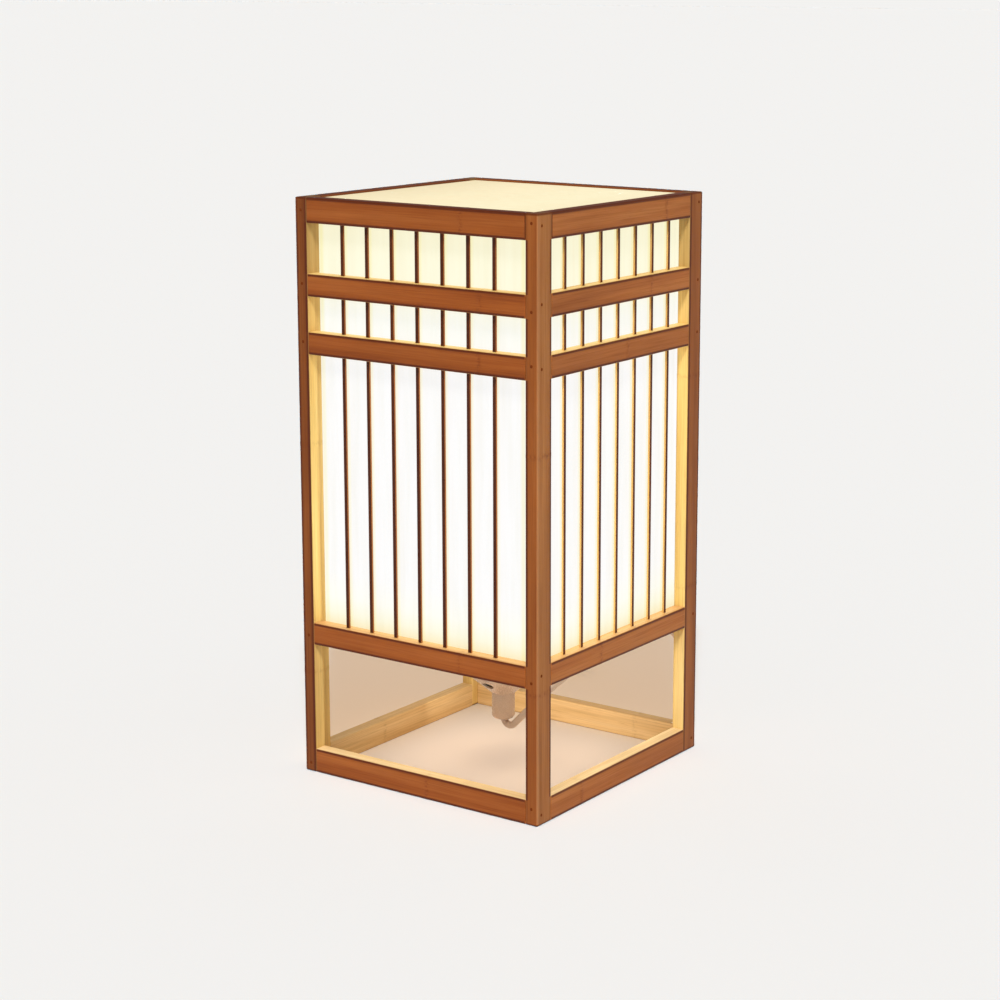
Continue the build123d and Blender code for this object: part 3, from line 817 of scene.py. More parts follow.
@dataclass(frozen=True)
class MouldedFinish:
    """Moulded plastic, glaze or enamel: even colour, faint clouding and a soft gloss."""

    colour: Colour
    rough: float = 0.32
    grain_scale: float = 900.0
    relief: float = 0.06
    metal: float = 0.0
    gloss: float = 0.5
    glow: float = 0.0

    def material(self, name: str) -> Material:
        """Makes the material from a broad cloud of colour and a fine relief.

        Args:
            name: Name of the material.

        Returns:
            The material.
        """
        bench = Bench(name)
        cloud = bench.noise(bench.place(), 45.0, 3.0)
        grain = bench.noise(bench.place(), self.grain_scale, 3.0)
        red, green, blue, _ = self.colour
        low = (0.94 * red, 0.94 * green, 0.94 * blue, 1.0)
        tint = bench.ramp(cloud, ((0.35, low), (0.65, self.colour)))
        rough = bench.spread(grain, 0.3, 0.7, self.rough - 0.05, self.rough + 0.07)
        surface = bench.shader(tint, rough, Metallic=self.metal, Specular_IOR_Level=self.gloss)
        if self.glow:
            bench.feed(surface, Emission_Strength=self.glow, Emission_Color=self.colour)
        bench.bump(surface, grain, self.relief, 0.0001)
        return bench.made


PLAIN = tones((208, 168, 94), (222, 186, 112), (234, 202, 132))
STAINED = BambooFinish(
    outer=tones((138, 66, 16), (158, 82, 26), (174, 98, 40)),
    inner=PLAIN,
    # colours of the painted shade lines and of the painted highlight
    edge=linear(84, 30, 5),
    painted_highlight=linear(196, 140, 96),
    knot=linear(112, 48, 12),
    # stain of the right-hand faces, painted brighter as if lit more
    pale=tones((150, 84, 30), (172, 102, 44), (188, 120, 60)),
)
LIT_RAIL = replace(STAINED, inner=tones((186, 134, 78), (200, 150, 92), (214, 166, 110)))
# base rails: inner and top faces painted pale golden, standing for the bulb's glow on them
BASE_RAIL_PAINTED_GLOW = replace(STAINED, inner=tones((214, 176, 118), (228, 194, 138), (240, 210, 156)))
TOP_RAIL = replace(STAINED, inner=tones((112, 58, 22), (128, 70, 30), (144, 86, 42)))
# slats: fronts painted dark, as shade against the lit sheets, and sides painted golden, as the sheets'
# glow on them
SLAT_PAINTED_BACKLIGHT = BambooFinish(
    outer=tones((64, 20, 2), (78, 30, 4), (92, 42, 10)),
    inner=tones((196, 148, 80), (212, 168, 98), (226, 186, 118)),
    edge=linear(58, 18, 2),
    painted_highlight=linear(120, 60, 20),
    knot=linear(70, 28, 10),
)
# the same slats with their sides painted darker, in shade
SLAT_PAINTED_BACKLIGHT_SHADED_SIDES = replace(SLAT_PAINTED_BACKLIGHT, inner=tones((140, 80, 34), (158, 96, 46), (174, 112, 60)))
PLAIN_WOOD = BambooFinish(
    outer=PLAIN,
    inner=PLAIN,
    edge=linear(150, 96, 50),
    painted_highlight=linear(230, 190, 130),
    knot=linear(150, 96, 50),
)
SHADE = SheetFinish(
    look=(
        (0.134, linear(250, 236, 192)),
        (0.146, linear(251, 249, 226)),
        (0.160, linear(252, 252, 244)),
        (0.182, linear(250, 250, 250)),
        (0.372, linear(250, 250, 250)),
        (0.407, linear(252, 253, 246)),
        (0.442, linear(253, 251, 226)),
        (0.504, linear(253, 248, 214)),
    ),
    axis=2,
    room=0.72,
)
CEILING = SheetFinish(
    look=(
        (-0.113, linear(240, 224, 184)),
        (-0.03, linear(251, 236, 196)),
        (0.06, linear(252, 241, 202)),
        (0.113, linear(250, 236, 196)),
    ),
    axis=0,
)


# ---------------------------------------------------------------- bamboo frame


@dataclass
class BambooCage:
    """Posts, rails, slats and brads.

    `post_knots` has the place of each knot on the first post and its step to the next one.
    `brad_lifts` has the brads' heights above the middle of the rail, in millimetres from the
    base up, on the faces where hand work set them unevenly.
    """

    sizes: LampSizes
    arris: float = 0.0010
    end_ease: float = 0.0004
    swell: float = 0.00008
    # strengths of the painted shade lines along the near and far edges, of the darker ends, and of the
    # painted shade over the crown tier's inner faces
    near_shade_line: float = 0.95
    far_shade_line: float = 0.9
    dark_end: float = 0.8
    crown_painted_shade: float = 0.28
    post_knots: tuple[tuple[float, float], ...] = ((-0.162, 0.021), (0.041, 0.017))
    rail_knot: float = 0.07
    rail_tone: float = 0.05
    dot_w: float = 0.0026
    dot_h: float = 0.0028
    dot_round: float = 0.0012
    dot_rise: float = 0.00005
    shank: float = 0.03
    brad_lifts: dict[tuple[str, str], tuple[float, ...]] = field(
        default_factory=lambda: {
            ("front_right", "y"): (3.5, -4.0, 2.3, -4.0, 3.0),
            ("front_right", "x"): (-2.0, 2.0, -0.2, 2.0, 1.0),
            ("front_left", "y"): (-3.0, -2.0, 1.0, 1.0, 0.0),
            ("back_right", "x"): (-1.0, 0.5, 1.0, -2.5, 2.0),
        }
    )

    def posts(self) -> None:
        """Makes the four posts, each with its own stretch of grain."""
        s = self.sizes
        tints = {
            "front_left": (0.66, 0.67, 0.62),
            "front_right": (0.94, 1.03, 1.16),
            "back_left": (0.85, 0.85, 0.85),
            "back_right": (0.75, 0.67, 0.54),
        }
        # each post's outer arris: a painted shade line, and on the near post a painted highlight (below
        # zero)
        outer_arris_painted_lines = {"front_left": 0.9, "front_right": -0.34, "back_left": 0.5, "back_right": 0.9}
        half = s.height / 2
        seams = tuple((z - half, z + tall - half) for z, tall in s.levels.values())
        # painted shade over the inner faces of the crown tier
        crown = (seams[3][1] - 0.0002, seams[4][0] + 0.0002, self.crown_painted_shade)
        for i, (corner, tone) in enumerate(tints.items()):
            sx = 1 if "right" in corner else -1
            sy = 1 if "back" in corner else -1
            post = Stick(
                size=(s.post_w, s.post_d, s.height),
                centre=(sx * (s.width - s.post_w) / 2, sy * (s.depth - s.post_d) / 2, s.height / 2),
                grain=Grain.ALONG_Z,
                arris=self.arris,
                end_ease=self.arris,
                knots=tuple(first + step * i for first, step in self.post_knots),
                swell=self.swell,
                outward=((sx, 0.0), (0.0, sy)),
                painted_edge_lines=(
                    (sx, -sy, self.near_shade_line), (-sx, sy, self.near_shade_line), (sx, sy, outer_arris_painted_lines[corner])
                ),
                # faces toward +X painted brighter, as if lit more
                pale=(1.0, 0.0),
                dark_end=self.dark_end,
                border=(0.0009, 0.0013),
                seams=seams,
                # share of the painted edge shade left where rails butt on
                seam_share=0.2 if corner == "front_right" else 0.8,
                painted_shade_span=crown,
            )
            wood = STAINED.material(f"bamboo_post_{corner}", Grain.ALONG_Z, 1.37 + i, tone)
            node = f"post_{corner}"
            piece = post.on(Surface()).made(f"{node}_bamboo")
            register(piece, Body.FRAME, wood, "bamboo_post", node)

    def rails(self) -> None:
        """Makes the twenty rails between the posts."""
        s = self.sizes
        mid_x, mid_y = s.rail_mid
        long_x, long_y = s.width - 2 * s.post_w, s.depth - 2 * s.post_d
        finishes = {"base": BASE_RAIL_PAINTED_GLOW, "lower": LIT_RAIL, "top": TOP_RAIL}
        seed = 11.0
        for level, (z, tall) in s.levels.items():
            top = level == "top"
            for side, (x, y) in SIDES.items():
                seed += 1.71
                along_x = x == 0
                out, up = ((y, 0), (0, 1)) if along_x else ((0, x), (1, 0))
                rail = Stick(
                    size=(s.rail_t, tall, long_x) if along_x else (tall, s.rail_t, long_y),
                    centre=(x * mid_x, y * mid_y, z + tall / 2),
                    grain=Grain.ALONG_X if along_x else Grain.ALONG_Y,
                    arris=self.arris,
                    end_ease=self.end_ease,
                    knots=(self.rail_knot * math.sin(seed),),
                    swell=self.swell,
                    outward=(out, up) if top else (out,),
                    # painted shade lines along the lower and upper outer edges
                    painted_edge_lines=tuple(
                        (out[0] + way * up[0], out[1] + way * up[1], strength)
                        for way, strength in ((-1, self.near_shade_line), (1, self.far_shade_line))
                    ),
                    # right-hand faces painted brighter, as if lit more
                    pale=(0.0, 0.7) if side == "right" else None,
                    dark_face=up if top else None,
                    dark_end=self.dark_end if top else 0.0,
                )
                # tone varies at random by the seed; the right-hand rails are also painted brighter, as
                # if lit more
                right_rail_painted_light = 1.0 if side == "right" else 0.0
                even = 1.0 + self.rail_tone * (math.sin(2.3 * seed) + right_rail_painted_light)
                node = f"{level}_rail_{side}"
                finish = finishes.get(level, STAINED)
                wood = finish.material(f"bamboo_{node}", rail.grain, seed, (even, even, even))
                piece = rail.on(Surface()).made(f"{node}_bamboo")
                register(piece, Body.FRAME, wood, "bamboo_rail", node)

    def slats(self) -> None:
        """Makes the slats, seven flat strips on each side."""
        s = self.sizes
        low = s.levels["lower"][0] + s.inner_rail_h - s.slat_seat
        high = s.levels["top"][0] + s.slat_seat - 0.0005
        mid_x, mid_y = s.rail_mid
        steps = (np.arange(s.slat_count) - (s.slat_count - 1) / 2) * s.slat_pitch
        for i, (side, (x, y)) in enumerate(SIDES.items()):
            piece = Surface()
            size = (s.slat_d, s.slat_w) if x else (s.slat_w, s.slat_d)
            for step in steps:
                at = (x * mid_x, step) if x else (step, y * mid_y)
                centre = (*at, (low + high) / 2)
                Stick((*size, high - low), centre, Grain.ALONG_Z, outward=((x, y),)).on(piece)
            # right-hand slats painted brighter, as if lit more; the others keep sides painted in shade
            finish, tone = SLAT_PAINTED_BACKLIGHT_SHADED_SIDES, (1.0, 1.0, 1.0)
            if side == "right":
                finish, tone = SLAT_PAINTED_BACKLIGHT, (1.5, 1.6, 1.6)
            wood = finish.material(f"bamboo_slats_{side}", Grain.ALONG_Z, 40.3 + i, tone)
            node = f"slats_{side}"
            register(piece.made(f"{node}_bamboo"), Body.FRAME, wood, "bamboo_slat", node)

    def brads(self) -> None:
        """Makes the filled holes of the brads, one at each rail end, as low darker pads."""
        s = self.sizes
        piece = Surface()
        mid_x, mid_y = s.rail_mid
        out_x = s.width / 2 + self.dot_rise - self.shank / 2
        out_y = s.depth / 2 + self.dot_rise - self.shank / 2
        even_x, even_y = (1000 * s.pin_rise_x,) * 5, (1000 * s.pin_rise_y,) * 5
        for i, (z, tall) in enumerate(s.levels.values()):
            for sx, sy in ((-1, -1), (-1, 1), (1, -1), (1, 1)):
                corner = ("back" if sy > 0 else "front") + ("_right" if sx > 0 else "_left")
                lift_x = self.brad_lifts.get((corner, "x"), even_x)[i] / 1000
                lift_y = self.brad_lifts.get((corner, "y"), even_y)[i] / 1000
                for wide, high, at, grain in (
                    (self.dot_w, self.dot_h, (sx * out_x, sy * mid_y, lift_x), Grain.ALONG_X),
                    (self.dot_h, self.dot_w, (sx * mid_x, sy * out_y, lift_y), Grain.ALONG_Y),
                ):
                    centre = (at[0], at[1], z + tall / 2 + at[2])
                    size = (wide, high, self.shank)
                    Stick(size, centre, grain, arris=self.dot_round, end_ease=0.0002).on(piece)
        filler = MouldedFinish(linear(112, 50, 14), rough=0.9, relief=0.2, gloss=0.1)
        dark = filler.material("brad_filler")
        register(piece.made("rail_brads"), Body.FRAME, dark, "pin_steel", "rail_pins")

    def build(self) -> None:
        """Makes the whole cage."""
        self.posts()
        self.rails()
        self.slats()
        self.brads()


# ---------------------------------------------------------------- shade


@dataclass
class LanternShade:
    """Four glowing sheets, the top panel and the ledges under it."""

    sizes: LampSizes
    lit_by_sheets: Group
    top_slack: float = 0.0003

    def sheets(self) -> None:
        """Makes the four upright sheets."""
        s = self.sizes
        foot = s.levels["lower"][0] + s.inner_rail_h - s.sheet_lap
        head = s.height - s.panel_drop - s.panel_t
        tall = head - foot
        wide_x = s.width - 2 * s.post_w - 2 * s.sheet_side_gap
        wide_y = s.depth - 2 * s.post_d - 2 * s.sheet_side_gap
        mid_x, mid_y = s.inner_x - s.sheet_t / 2, s.inner_y - s.sheet_t / 2
        plain = SHADE.material("shade_sheet_lit")
        papers = {
            side: SHADE.material(f"shade_sheet_lit_{side}", (axis, s.slat_pitch, start))
            for side, axis, start in (("front", 0, -0.0022), ("right", 1, 0.0052))
        }
        for side, (x, y) in SIDES.items():
            size = (s.sheet_t, wide_y, tall) if x else (wide_x, s.sheet_t, tall)
            centre = (x * mid_x, y * mid_y, foot + tall / 2)
            sheet = Stick(size, centre, Grain.ALONG_Z, 0.0001, 0.0001)
            node = f"shade_{side}"
            lit = sheet.on(Surface()).made(f"{node}_sheet")
            register(lit, Body.FRAME, papers.get(side, plain), "shade_sheet", node)
            lit.light_linking.receiver_collection = self.lit_by_sheets

    def panel(self) -> None:
        """Makes the top panel."""
        s = self.sizes
        z = s.height - s.panel_drop - s.panel_t / 2
        size = (2 * (s.inner_x - self.top_slack), 2 * (s.inner_y - self.top_slack), s.panel_t)
        panel = Stick(size, (0.0, 0.0, z), Grain.ALONG_Z, 0.0003, 0.0002)
        piece, paper = panel.on(Surface()).made("top_sheet"), CEILING.material("top_panel_lit")
        register(piece, Body.FRAME, paper, "shade_sheet", "top_panel")

    def build(self) -> None:
        """Makes the shade and dresses its ledges."""
        self.sheets()
        self.panel()
        dress(PLAIN_WOOD.material("ledge_bamboo", Grain.ALONG_X, 61.2), "panel_ledges")


# ---------------------------------------------------------------- lampholder and bulb


@dataclass
class Lampholder:
    """Bracket, cup, neck, shell and socket."""

    grip_r: float = 0.01035
    grip_z: float = 0.038
    grip_h: float = 0.024
    grip_round: float = 0.004
    bore_r: float = 0.00335
    bore_l: float = 0.008

    def neck(self, white: Material) -> None:
        """Makes the round neck, a turned shape with a rounded foot and the cord's bore."""
        quarter = np.linspace(-math.pi / 2, 0, 9)
        r, z, e = self.grip_r, self.grip_z, self.grip_round
        foot = np.stack([r - e + e * np.cos(quarter), z + e + e * np.sin(quarter)], axis=1)
        lip = np.array([(self.bore_r + 0.0008, z), (self.bore_r, z + 0.0008)])
        outer = np.vstack([foot, [(r - 0.0003, z + 0.007), (r - 0.0003, z + 0.0074), (r, z + 0.0078)]])
        top = np.array([(r, z + self.grip_h), (self.bore_r, z + self.grip_h)])
        bore = np.array([(self.bore_r, z + self.bore_l)])
        profile = np.vstack([lip[:1], outer, top, bore, lip[1:]])
        piece = Surface().loop(turned(profile)).made("cord_neck")
        register(piece, Body.FRAME, white, "white_plastic", "cord_grip")

    def build(self) -> None:
        """Makes the neck and dresses the carried-over parts of the lampholder."""
        # the white plastic is coloured beige: painted warm shade
        white = MouldedFinish(linear(219, 193, 170), 0.26).material("holder_white_painted_shade")
        enamel = MouldedFinish(linear(232, 230, 224), 0.38, relief=0.12).material("bracket_enamel")
        glaze = MouldedFinish(linear(226, 222, 212), 0.22).material("socket_glaze")
        brass = MouldedFinish(linear(206, 168, 100), 0.34, metal=1.0).material("socket_brass")
        zinc = MouldedFinish(linear(190, 190, 188), 0.36, metal=1.0).material("zinc_steel")
        self.neck(white)
        dress(white, "holder_cup", "lampholder_shell")
        dress(enamel, "holder_bracket")
        dress(glaze, "socket_insert")
        dress(brass, "socket_thread", "socket_contact")
        dress(zinc, "threaded_tube", "bracket_screws", "clip_nails")


@dataclass
class Bulb:
    """Screw cap with its rolled thread, plastic body and frosted globe."""

    foot: float = 0.1078
    cap_r: float = 0.01317
    cap_l: float = 0.0262
    thread_low: float = 0.0062
    thread_high: float = 0.0225
    thread_pitch: float = 0.0036
    thread_depth: float = 0.0009
    thread_fade: float = 0.002
    steps: int = 72
    neck_r: float = 0.0134
    body_h: float = 0.046
    shoulder_r: float = 0.029
    globe_r: float = 0.0305
    fan_angle: float = 0.02

    def cap(self) -> None:
        """Makes the cap: a turned shape whose radius waves along a helix on its threaded part."""
        z = np.concatenate([[0.0, 0.001, 0.0042, 0.0044], np.linspace(0.0052, self.cap_l, 90)])
        heights = [0.0, 0.001, 0.0042, 0.0044, 0.0052, self.cap_l]
        r = np.interp(z, heights, [0.0046, 0.0056, 0.0095, 0.0115, self.cap_r, self.cap_r])
        grid = turned(np.stack([r, z + self.foot], axis=1), self.steps)
        angle = np.linspace(0, 2 * math.pi, self.steps, endpoint=False)
        phase = 2 * math.pi * z[:, None] / self.thread_pitch - angle[None, :]
        inside = np.minimum(z - self.thread_low, self.thread_high - z)
        ends = np.clip(inside / self.thread_fade, 0, 1)
        dip = self.thread_depth * ends[:, None] * (0.5 - 0.5 * np.cos(phase))
        shrink = 1 - dip / np.maximum(r[:, None], 1e-6)
        grid[:, :, :2] *= shrink[:, :, None]
        nickel = MouldedFinish(linear(198, 196, 190), rough=0.24, metal=1.0).material("cap_nickel")
        piece = Surface().tube(grid).made("bulb_screw_cap")
        register(piece, Body.BULB, nickel, "bulb_nickel", "bulb_cap")

    def body(self) -> None:
        """Makes the body: radius grows along half a cosine wave from neck to shoulder."""
        t = np.linspace(0, 1, 40)
        r = self.neck_r + (self.shoulder_r - self.neck_r) * (0.5 - 0.5 * np.cos(math.pi * t)) ** 0.9
        z = self.foot + self.cap_l + self.body_h * t
        grid = turned(np.stack([r, z], axis=1), self.steps)
        white = MouldedFinish(linear(244, 242, 236), rough=0.3).material("bulb_white")
        piece = Surface().tube(grid).made("bulb_housing")
        register(piece, Body.BULB, white, "bulb_plastic", "bulb_body")

    def globe(self) -> None:
        """Makes the globe: a sphere from the shoulder up, closed by a small fan at its top."""
        start = math.acos(self.shoulder_r / self.globe_r)
        centre_z = self.foot + self.cap_l + self.body_h + self.globe_r * math.sin(start)
        angle = np.linspace(-start, math.pi / 2 - self.fan_angle, 36)
        r = self.globe_r * np.cos(angle)
        z = centre_z + self.globe_r * np.sin(angle)
        grid = turned(np.stack([r, z], axis=1), self.steps)
        frost = MouldedFinish(linear(255, 244, 220), rough=0.5, glow=1.0).material("bulb_frost_lit")
        piece = Surface().tube(grid).made("bulb_frosted_globe")
        register(piece, Body.BULB, frost, "bulb_frost", "bulb_globe")

    def build(self) -> None:
        """Makes the bulb."""
        self.cap()
        self.body()
        self.globe()


# ---------------------------------------------------------------- cord


@dataclass
class LampCord:
    """The cord on one curve, with its coil, switch, plug, clips and tie."""

    radius: float = 0.0032
    length: float = 1.80
    coil_centre: tuple[float, float] = (-0.141, 0.232)
    coil_rings: tuple[tuple[float, float], ...] = (
        (0.0414, 0.0041),
        (0.0350, 0.0041),
        (0.0286, 0.0041),
        (0.0318, 0.0105),
        (0.0382, 0.0105),
    )
    coil_start: float = 207.0
    coil_sweep: float = 4.93
    coil_steps: int = 16
    coil_shift_from: float = 0.74

    def lead(self) -> list[Point]:
        """The route from the neck to the switch, in millimetres."""
        return [
            (0, 0, 44), (0, 0, 34.6), (8.7, 0, 31), (15.3, 0.3, 37.8), (44, 1, 67.5), (72, 4.5, 94),
            (91.5, 13.5, 108.5), (104.5, 29, 116.5), (109.65, 52, 118.6), (109.65, 96, 118.6),
            (109.9, 117, 104.5), (109.2, 131, 84.5), (108, 138.5, 60.5), (107.2, 140.5, 23),
            (88, 141.5, 3.3), (60, 139.5, 3.3), (41, 137, 6.4), (22, 137, 6.4),
        ]

    def run(self) -> list[Point]:
        """The route from the switch to the coil, in millimetres."""
        return [
            (-22, 137, 6.4), (-41, 137, 6.4), (-64, 138.8, 3.3), (-98, 145, 3.3), (-126, 153, 3.3),
            (-149, 169, 3.3), (-166, 190, 3.6),
        ]

    def coil(self) -> np.ndarray:
        """The coil's control points, in metres, going right seen from above.

        Rings follow one another, each shifted to the next by a smooth step over the last
        quarter of its turn. The points stand a little outside the rings, because the spline
        runs inside its points.

        Returns:
            One point to a line.
        """
        turns = np.arange(0.0, self.coil_sweep, 1 / self.coil_steps)
        ring = np.minimum(turns.astype(int), len(self.coil_rings) - 1)
        after = np.minimum(ring + 1, len(self.coil_rings) - 1)
        share = np.clip((turns - ring - self.coil_shift_from) / (1 - self.coil_shift_from), 0, 1)
        share = share * share * (3 - 2 * share)
        table = np.array(self.coil_rings)
        at = table[ring] * (1 - share[:, None]) + table[after] * share[:, None]
        angle = np.radians(self.coil_start) - 2 * math.pi * turns
        reach = 2 / (1 + math.cos(math.pi / self.coil_steps))
        x = self.coil_centre[0] + at[:, 0] * reach * np.cos(angle)
        y = self.coil_centre[1] + at[:, 0] * reach * np.sin(angle)
        return np.stack([x, y, at[:, 1]], axis=1)

    def tail(self) -> list[Point]:
        """The route from the coil to the plug, in millimetres."""
        x, y = 1000 * self.coil_centre[0], 1000 * self.coil_centre[1]
        return [
            (x - 43.0, y - 8.0, 11.6), (x - 43.3, y + 4.0, 14.2), (x - 34.1, y + 16.3, 18.2),
            (x - 19, y + 23, 20.14), (x - 6, y + 23, 20.14),
        ]

    def line(self) -> Thing:
        """Makes the cord's curve: one smooth spline through lead, run, coil and tail."""
        before = np.array(self.lead() + self.run()) / 1000
        after = np.array(self.tail()) / 1000
        points = np.vstack([before, self.coil(), after])
        curve = bpy.data.curves.new("lamp_cord", "CURVE")
        curve.dimensions = "3D"
        curve.bevel_depth = self.radius
        curve.bevel_resolution = 6
        curve.use_fill_caps = True
        spline = curve.splines.new("NURBS")
        spline.points.add(len(points) - 1)
        spline.points.foreach_set("co", np.hstack([points, np.ones((len(points), 1))]).ravel())
        spline.order_u = 3
        spline.use_endpoint_u = True
        spline.resolution_u = 8
        return add_object("lamp_cord", curve)

    def build(self) -> None:
        # the white sheath is coloured beige: painted warm shade
        sheath = MouldedFinish(linear(213, 193, 176), 0.34, relief=0.05).material("cord_sheath_painted_shade")
        nodes = ("cord_lead", "cord_run", "cord_coil", "cord_tail")
        obj = self.line()
        register(obj, Body.FRAME, sheath, "cord_white", *nodes)
        white, grey_white = linear(238, 236, 230), linear(206, 203, 196)
        for name, finish, *dressed in (
            ("switch_white", MouldedFinish(white, 0.30), "switch_base", "switch_cover", "cord_clips"),
            ("rocker_grey", MouldedFinish(grey_white, 0.26), "switch_rocker"),
            ("plug_white", MouldedFinish(linear(238, 235, 229), 0.34), "plug_body"),
            ("blade_brass", MouldedFinish(linear(212, 196, 150), 0.3, metal=1.0), "plug_blades"),
            ("tie_white", MouldedFinish(linear(232, 230, 226), 0.5), "cord_tie"),
        ):
            dress(finish.material(name), *dressed)


# ---------------------------------------------------------------- studio


@dataclass
class Studio:
    """Camera, floor, backdrop and lights.

    Turns, rises and spreads are in degrees. `tiers` has the rings below and above each tier of
    the shade, and the power and colour of the glow at its sheets. `glow_wide` is its width at
    the left and right sides and at the front and back.
    """

    lens: float = 82.529
    shift: tuple[float, float] = (-0.08142, -0.05972)
    eye: Point = (1.15769, -1.59254, 0.68380)
    turn: Point = (1.374023, -0.0043986, 0.594501)
    backdrop: Colour = linear(243, 242, 240)
    own_light: float = 0.1
    sky: float = 0.26
    floor_fill: Point = (0.47, 0.26, 0.09)
    sun_turn: float = 36.0
    sun_rise: float = 52.0
    sun_spread: float = 14.0
    floor_sun_spread: float = 4.2
    shadow_flare: float = 0.022
    back_height: float = 0.08
    back_power: float = 1.3
    glow_off: float = 0.0006
    glow_wide: tuple[float, float] = (0.205, 0.220)
    tiers: tuple[tuple[str, str, float, Point], ...] = (
        ("lower", "middle", 0.13, (1.0, 1.0, 0.60)),
        ("middle", "upper", 0.008, (1.0, 0.9, 0.55)),
        ("upper", "top", 0.004, (1.0, 0.68, 0.50)),
    )

    def camera(self) -> None:
        """Makes the camera, in front, to the right and a little above."""
        data = bpy.data.cameras.new("camera")
        data.sensor_width = 36.0
        data.lens = self.lens
        data.shift_x, data.shift_y = self.shift
        obj = add_object("camera", data)
        obj.location = self.eye
        obj.rotation_euler = Euler(self.turn, "XYZ")
        bpy.context.scene.camera = obj

    def floor(self) -> Thing:
        """Makes a wide pale floor: a little of its own light to the eye, the rest falls on it.

        Returns:
            The floor.
        """
        half = 60.0
        corners = [(-half, -half, 0.0), (half, -half, 0.0), (half, half, 0.0), (-half, half, 0.0)]
        mesh = bpy.data.meshes.new("floor")
        mesh.from_pydata(corners, [], [[0, 1, 2, 3]])
        obj = add_object("floor", mesh)
        bench = Bench("floor_pale")
        path = bench.node("LightPath").outputs
        matt, plain = bench.node("BsdfDiffuse"), bench.node("Emission")
        for shader in (matt, plain):
            bench.feed(shader, Color=self.backdrop)
        seen = bench.math("MAXIMUM", path["Is Camera Ray"], path["Is Glossy Ray"])
        bench.mix_shaders(bench.math("MULTIPLY", seen, self.own_light), matt, plain)
        mesh.materials.append(bench.made)
        return obj

    def flags(self, sizes: LampSizes) -> None:
        """Makes cards that shape the shadow, unseen themselves.

        Two stand behind the rails, in the front opening and in the right-hand one, and keep the
        sun out of the open base. Two triangles at the outer corners widen the shadow on the
        floor with its length.

        Args:
            sizes: Sizes of the lamp.
        """
        low = sizes.outer_rail_h
        high = sizes.levels["lower"][0]
        x, y = sizes.inner_x, sizes.inner_y
        corners = [
            (-x, -y, low), (x, -y, low), (x, -y, high), (-x, -y, high), (x, y, low), (x, y, high),
        ]
        far, tall, flare = sizes.width / 2, sizes.height, self.shadow_flare
        turn = math.radians(self.sun_turn)
        side = (flare * math.cos(turn), flare * math.sin(turn))
        for way in (-1, 1):
            at = way * far
            corners += [(at, at, 0.0), (at, at, tall), (at + way * side[0], at + way * side[1], tall)]
        mesh = bpy.data.meshes.new("base_flags")
        mesh.from_pydata(corners, [], [[0, 1, 2, 3], [1, 4, 5, 2], [6, 7, 8], [9, 10, 11]])
        obj = add_object("base_flags", mesh)
        bench = Bench("flag_black")
        cloth = bench.node("BsdfDiffuse")
        bench.feed(cloth, Color=grey(0.0))
        bench.link(cloth.outputs[0], bench.output.inputs["Surface"])
        mesh.materials.append(bench.made)
        obj.visible_camera = obj.visible_diffuse = obj.visible_glossy = False
        obj.visible_transmission = obj.visible_volume_scatter = False

    def world(self) -> None:
        """Makes the surroundings: the backdrop's colour to the eye, an even soft light elsewhere."""
        bench = Bench("studio", world=True)
        bpy.context.scene.world = bench.made
        soft, seen = bench.node("Background"), bench.node("Background")
        bench.feed(soft, Color=WHITE, Strength=self.sky)
        bench.feed(seen, Color=self.backdrop)
        bench.mix_shaders(bench.node("LightPath").outputs["Is Camera Ray"], soft, seen)

    def lamp(
        self,
        name: str,
        kind: str,
        energy: float,
        colour: Point,
        place: Point,
        aim: Point,
        size: tuple[float, float] | None = None,
        falls_on: Group | None = None,
    ) -> Thing:
        """Adds one light, hidden from the eye, that looks from one point to another.

        Args:
            name: Its name.
            kind: AREA, POINT or SUN.
            energy: Its strength.
            colour: Colour of the light.
            place: Where it is.
            aim: Where it points.
            size: Width and height of an area light.
            falls_on: What it lights, everything where this is left out.

        Returns:
            The light.
        """
        data = bpy.data.lights.new(name, kind)
        data.energy, data.color = energy, colour
        if size is not None:
            data.shape = "RECTANGLE"
            data.size, data.size_y = size
        obj = add_object(name, data)
        obj.location = place
        way = np.array(aim) - np.array(place)
        yaw = math.atan2(-way[0], way[1])
        rise = math.atan2(way[2], math.hypot(way[0], way[1]))
        obj.rotation_euler = Euler((math.pi / 2 + rise, 0.0, yaw), "XYZ")
        obj.visible_camera = False
        if falls_on is not None:
            obj.light_linking.receiver_collection = falls_on
        return obj

    def suns(self, spared: Group, only_floor: Group) -> None:
        """Adds the suns.

        The lamp has one soft sun behind the eye and a weaker, lower one across from it. The
        floor has one from the first one's place and a warm one from straight above, which add up
        to plain light and leave a warm shadow.

        Args:
            spared: Everything but the floor.
            only_floor: The floor.
        """
        height, middle, white = 3.0, (0.0, 0.0, 0.0), (1.0, 1.0, 1.0)
        turn, rise = math.radians(self.sun_turn), math.radians(self.sun_rise)
        reach = height / math.tan(rise)
        place = (reach * math.sin(turn), -reach * math.cos(turn), height)
        behind = (-place[0], -place[1], self.back_height)
        steep = math.pi / math.sin(rise)
        day = 1 - self.sky
        rest = (day - self.floor_fill[0], day - self.floor_fill[1], day - self.floor_fill[2])
        above, below = (0.0, 0.0, height), (0.0, 0.001, 0.0)
        soft, sharp = self.sun_spread, self.floor_sun_spread
        for name, power, colour, start, aim, spread, falls_on in (
            ("sun", day * steep, white, place, middle, soft, spared),
            ("back_sun", self.back_power, white, behind, middle, soft, spared),
            ("floor_sun", steep, rest, place, middle, sharp, only_floor),
            ("floor_warm_sun", math.pi, self.floor_fill, above, below, 0.0, only_floor),
        ):
            sun = self.lamp(name, "SUN", power, colour, start, aim, falls_on=falls_on)
            sun.data.angle = math.radians(spread)
            sun.visible_glossy = name != "back_sun"

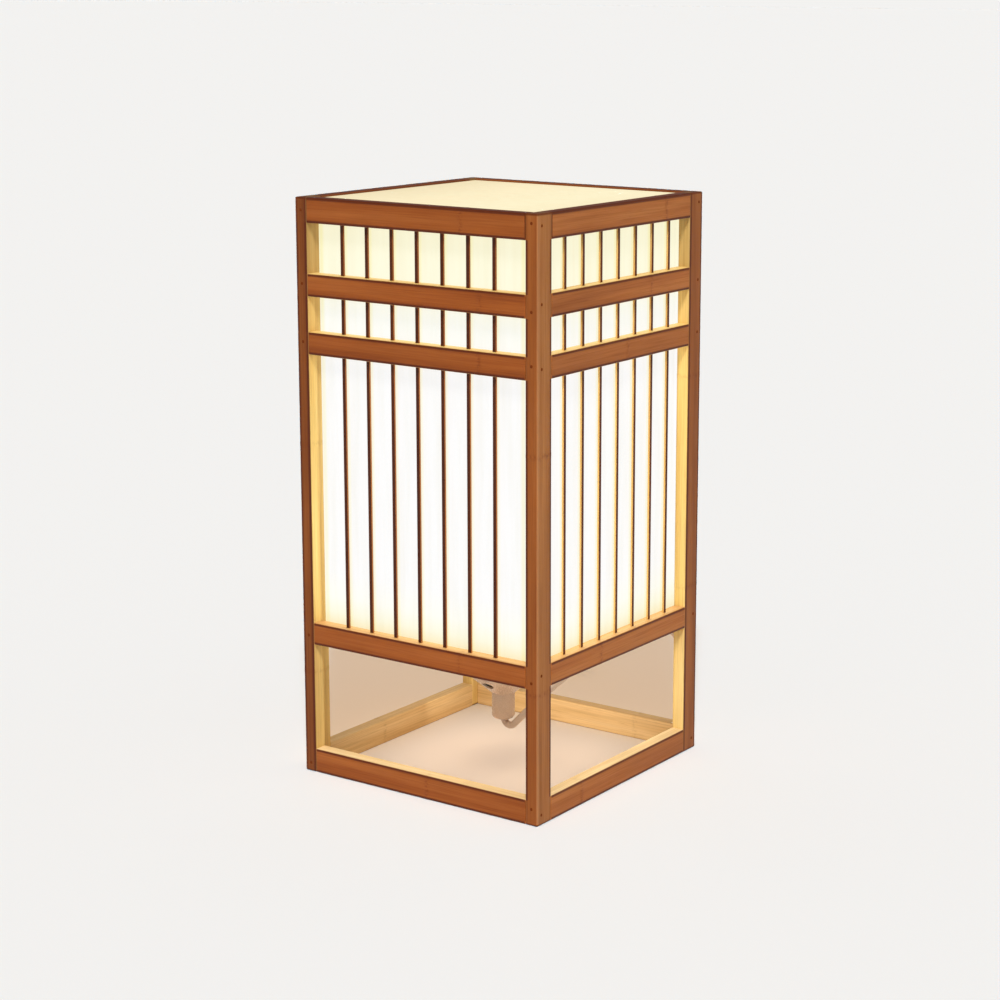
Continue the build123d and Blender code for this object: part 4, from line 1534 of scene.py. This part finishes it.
    def glows(self, sizes: LampSizes, spared: Group) -> None:
        """Adds the light down into the base, that on its back, the bulb's and the sheets' glow.

        Args:
            sizes: Sizes of the lamp.
            spared: Everything but the floor.
        """
        under = (0.0, 0.0, sizes.levels["lower"][0] - 0.003)
        wide, warm = (0.19, 0.19), (1.0, 0.68, 0.45)
        down = self.lamp("bulb_down", "AREA", 0.122, warm, under, (0.0, 0.0001, 0.0), wide)
        down.data.spread = math.radians(100)
        low, behind, flat, pale = (0.0, 0.03, 0.05), (0.0, 1.0, 0.02), (0.2, 0.06), (1.0, 0.95, 0.90)
        self.lamp("base_back_glow", "AREA", 0.075, pale, low, behind, flat, spared)
        inside, gold = (0.0, 0.0, 0.19), (1.0, 0.60, 0.25)
        bulb = self.lamp("bulb_light", "POINT", 0.10, gold, inside, (0.0, 1.0, 0.19))
        bulb.data.shadow_soft_size = 0.033
        for name, above, power, tint in self.tiers:
            foot, head = sizes.levels[name][0] + sizes.inner_rail_h, sizes.levels[above][0]
            mid = (foot + head) / 2
            for side, (x, y) in SIDES.items():
                out_x, out_y = sizes.inner_x + self.glow_off, sizes.inner_y + self.glow_off
                at = (x * out_x, y * out_y, mid)
                self.lamp(
                    f"glow_{side}_{name}", "AREA", power, tint, at, (2 * at[0], 2 * at[1], mid),
                    (self.glow_wide[0] if x else self.glow_wide[1], head - foot), spared,
                )

    def lights(self, sizes: LampSizes, floor: Thing) -> Group:
        """Adds all the lights and the two collections that say what some of them fall on.

        Args:
            sizes: Sizes of the lamp.
            floor: The floor.

        Returns:
            The collection that stands for everything but the floor.
        """
        only_floor = bpy.data.collections.new("floor_alone")
        spared = bpy.data.collections.new("all_but_floor")
        for collection in (only_floor, spared):
            collection.objects.link(floor)
        spared.collection_objects[0].light_linking.link_state = "EXCLUDE"
        self.suns(spared, only_floor)
        self.glows(sizes, spared)
        return spared

    def build(self, sizes: LampSizes) -> Group:
        """Makes the whole set.

        Args:
            sizes: Sizes of the lamp.

        Returns:
            The collection that stands for everything but the floor.
        """
        self.camera()
        floor = self.floor()
        self.flags(sizes)
        self.world()
        bpy.context.scene.view_settings.view_transform = "Standard"
        return self.lights(sizes, floor)


def main() -> None:
    """Builds the set, then the lamp piece by piece."""
    logging.basicConfig(level=logging.INFO, format="%(name)s: %(message)s")
    sizes = LampSizes()
    spared = Studio().build(sizes)
    LampCord().build()
    BambooCage(sizes).build()
    LanternShade(sizes, spared).build()
    Lampholder().build()
    Bulb().build()


if __name__ == "__main__":
    main()
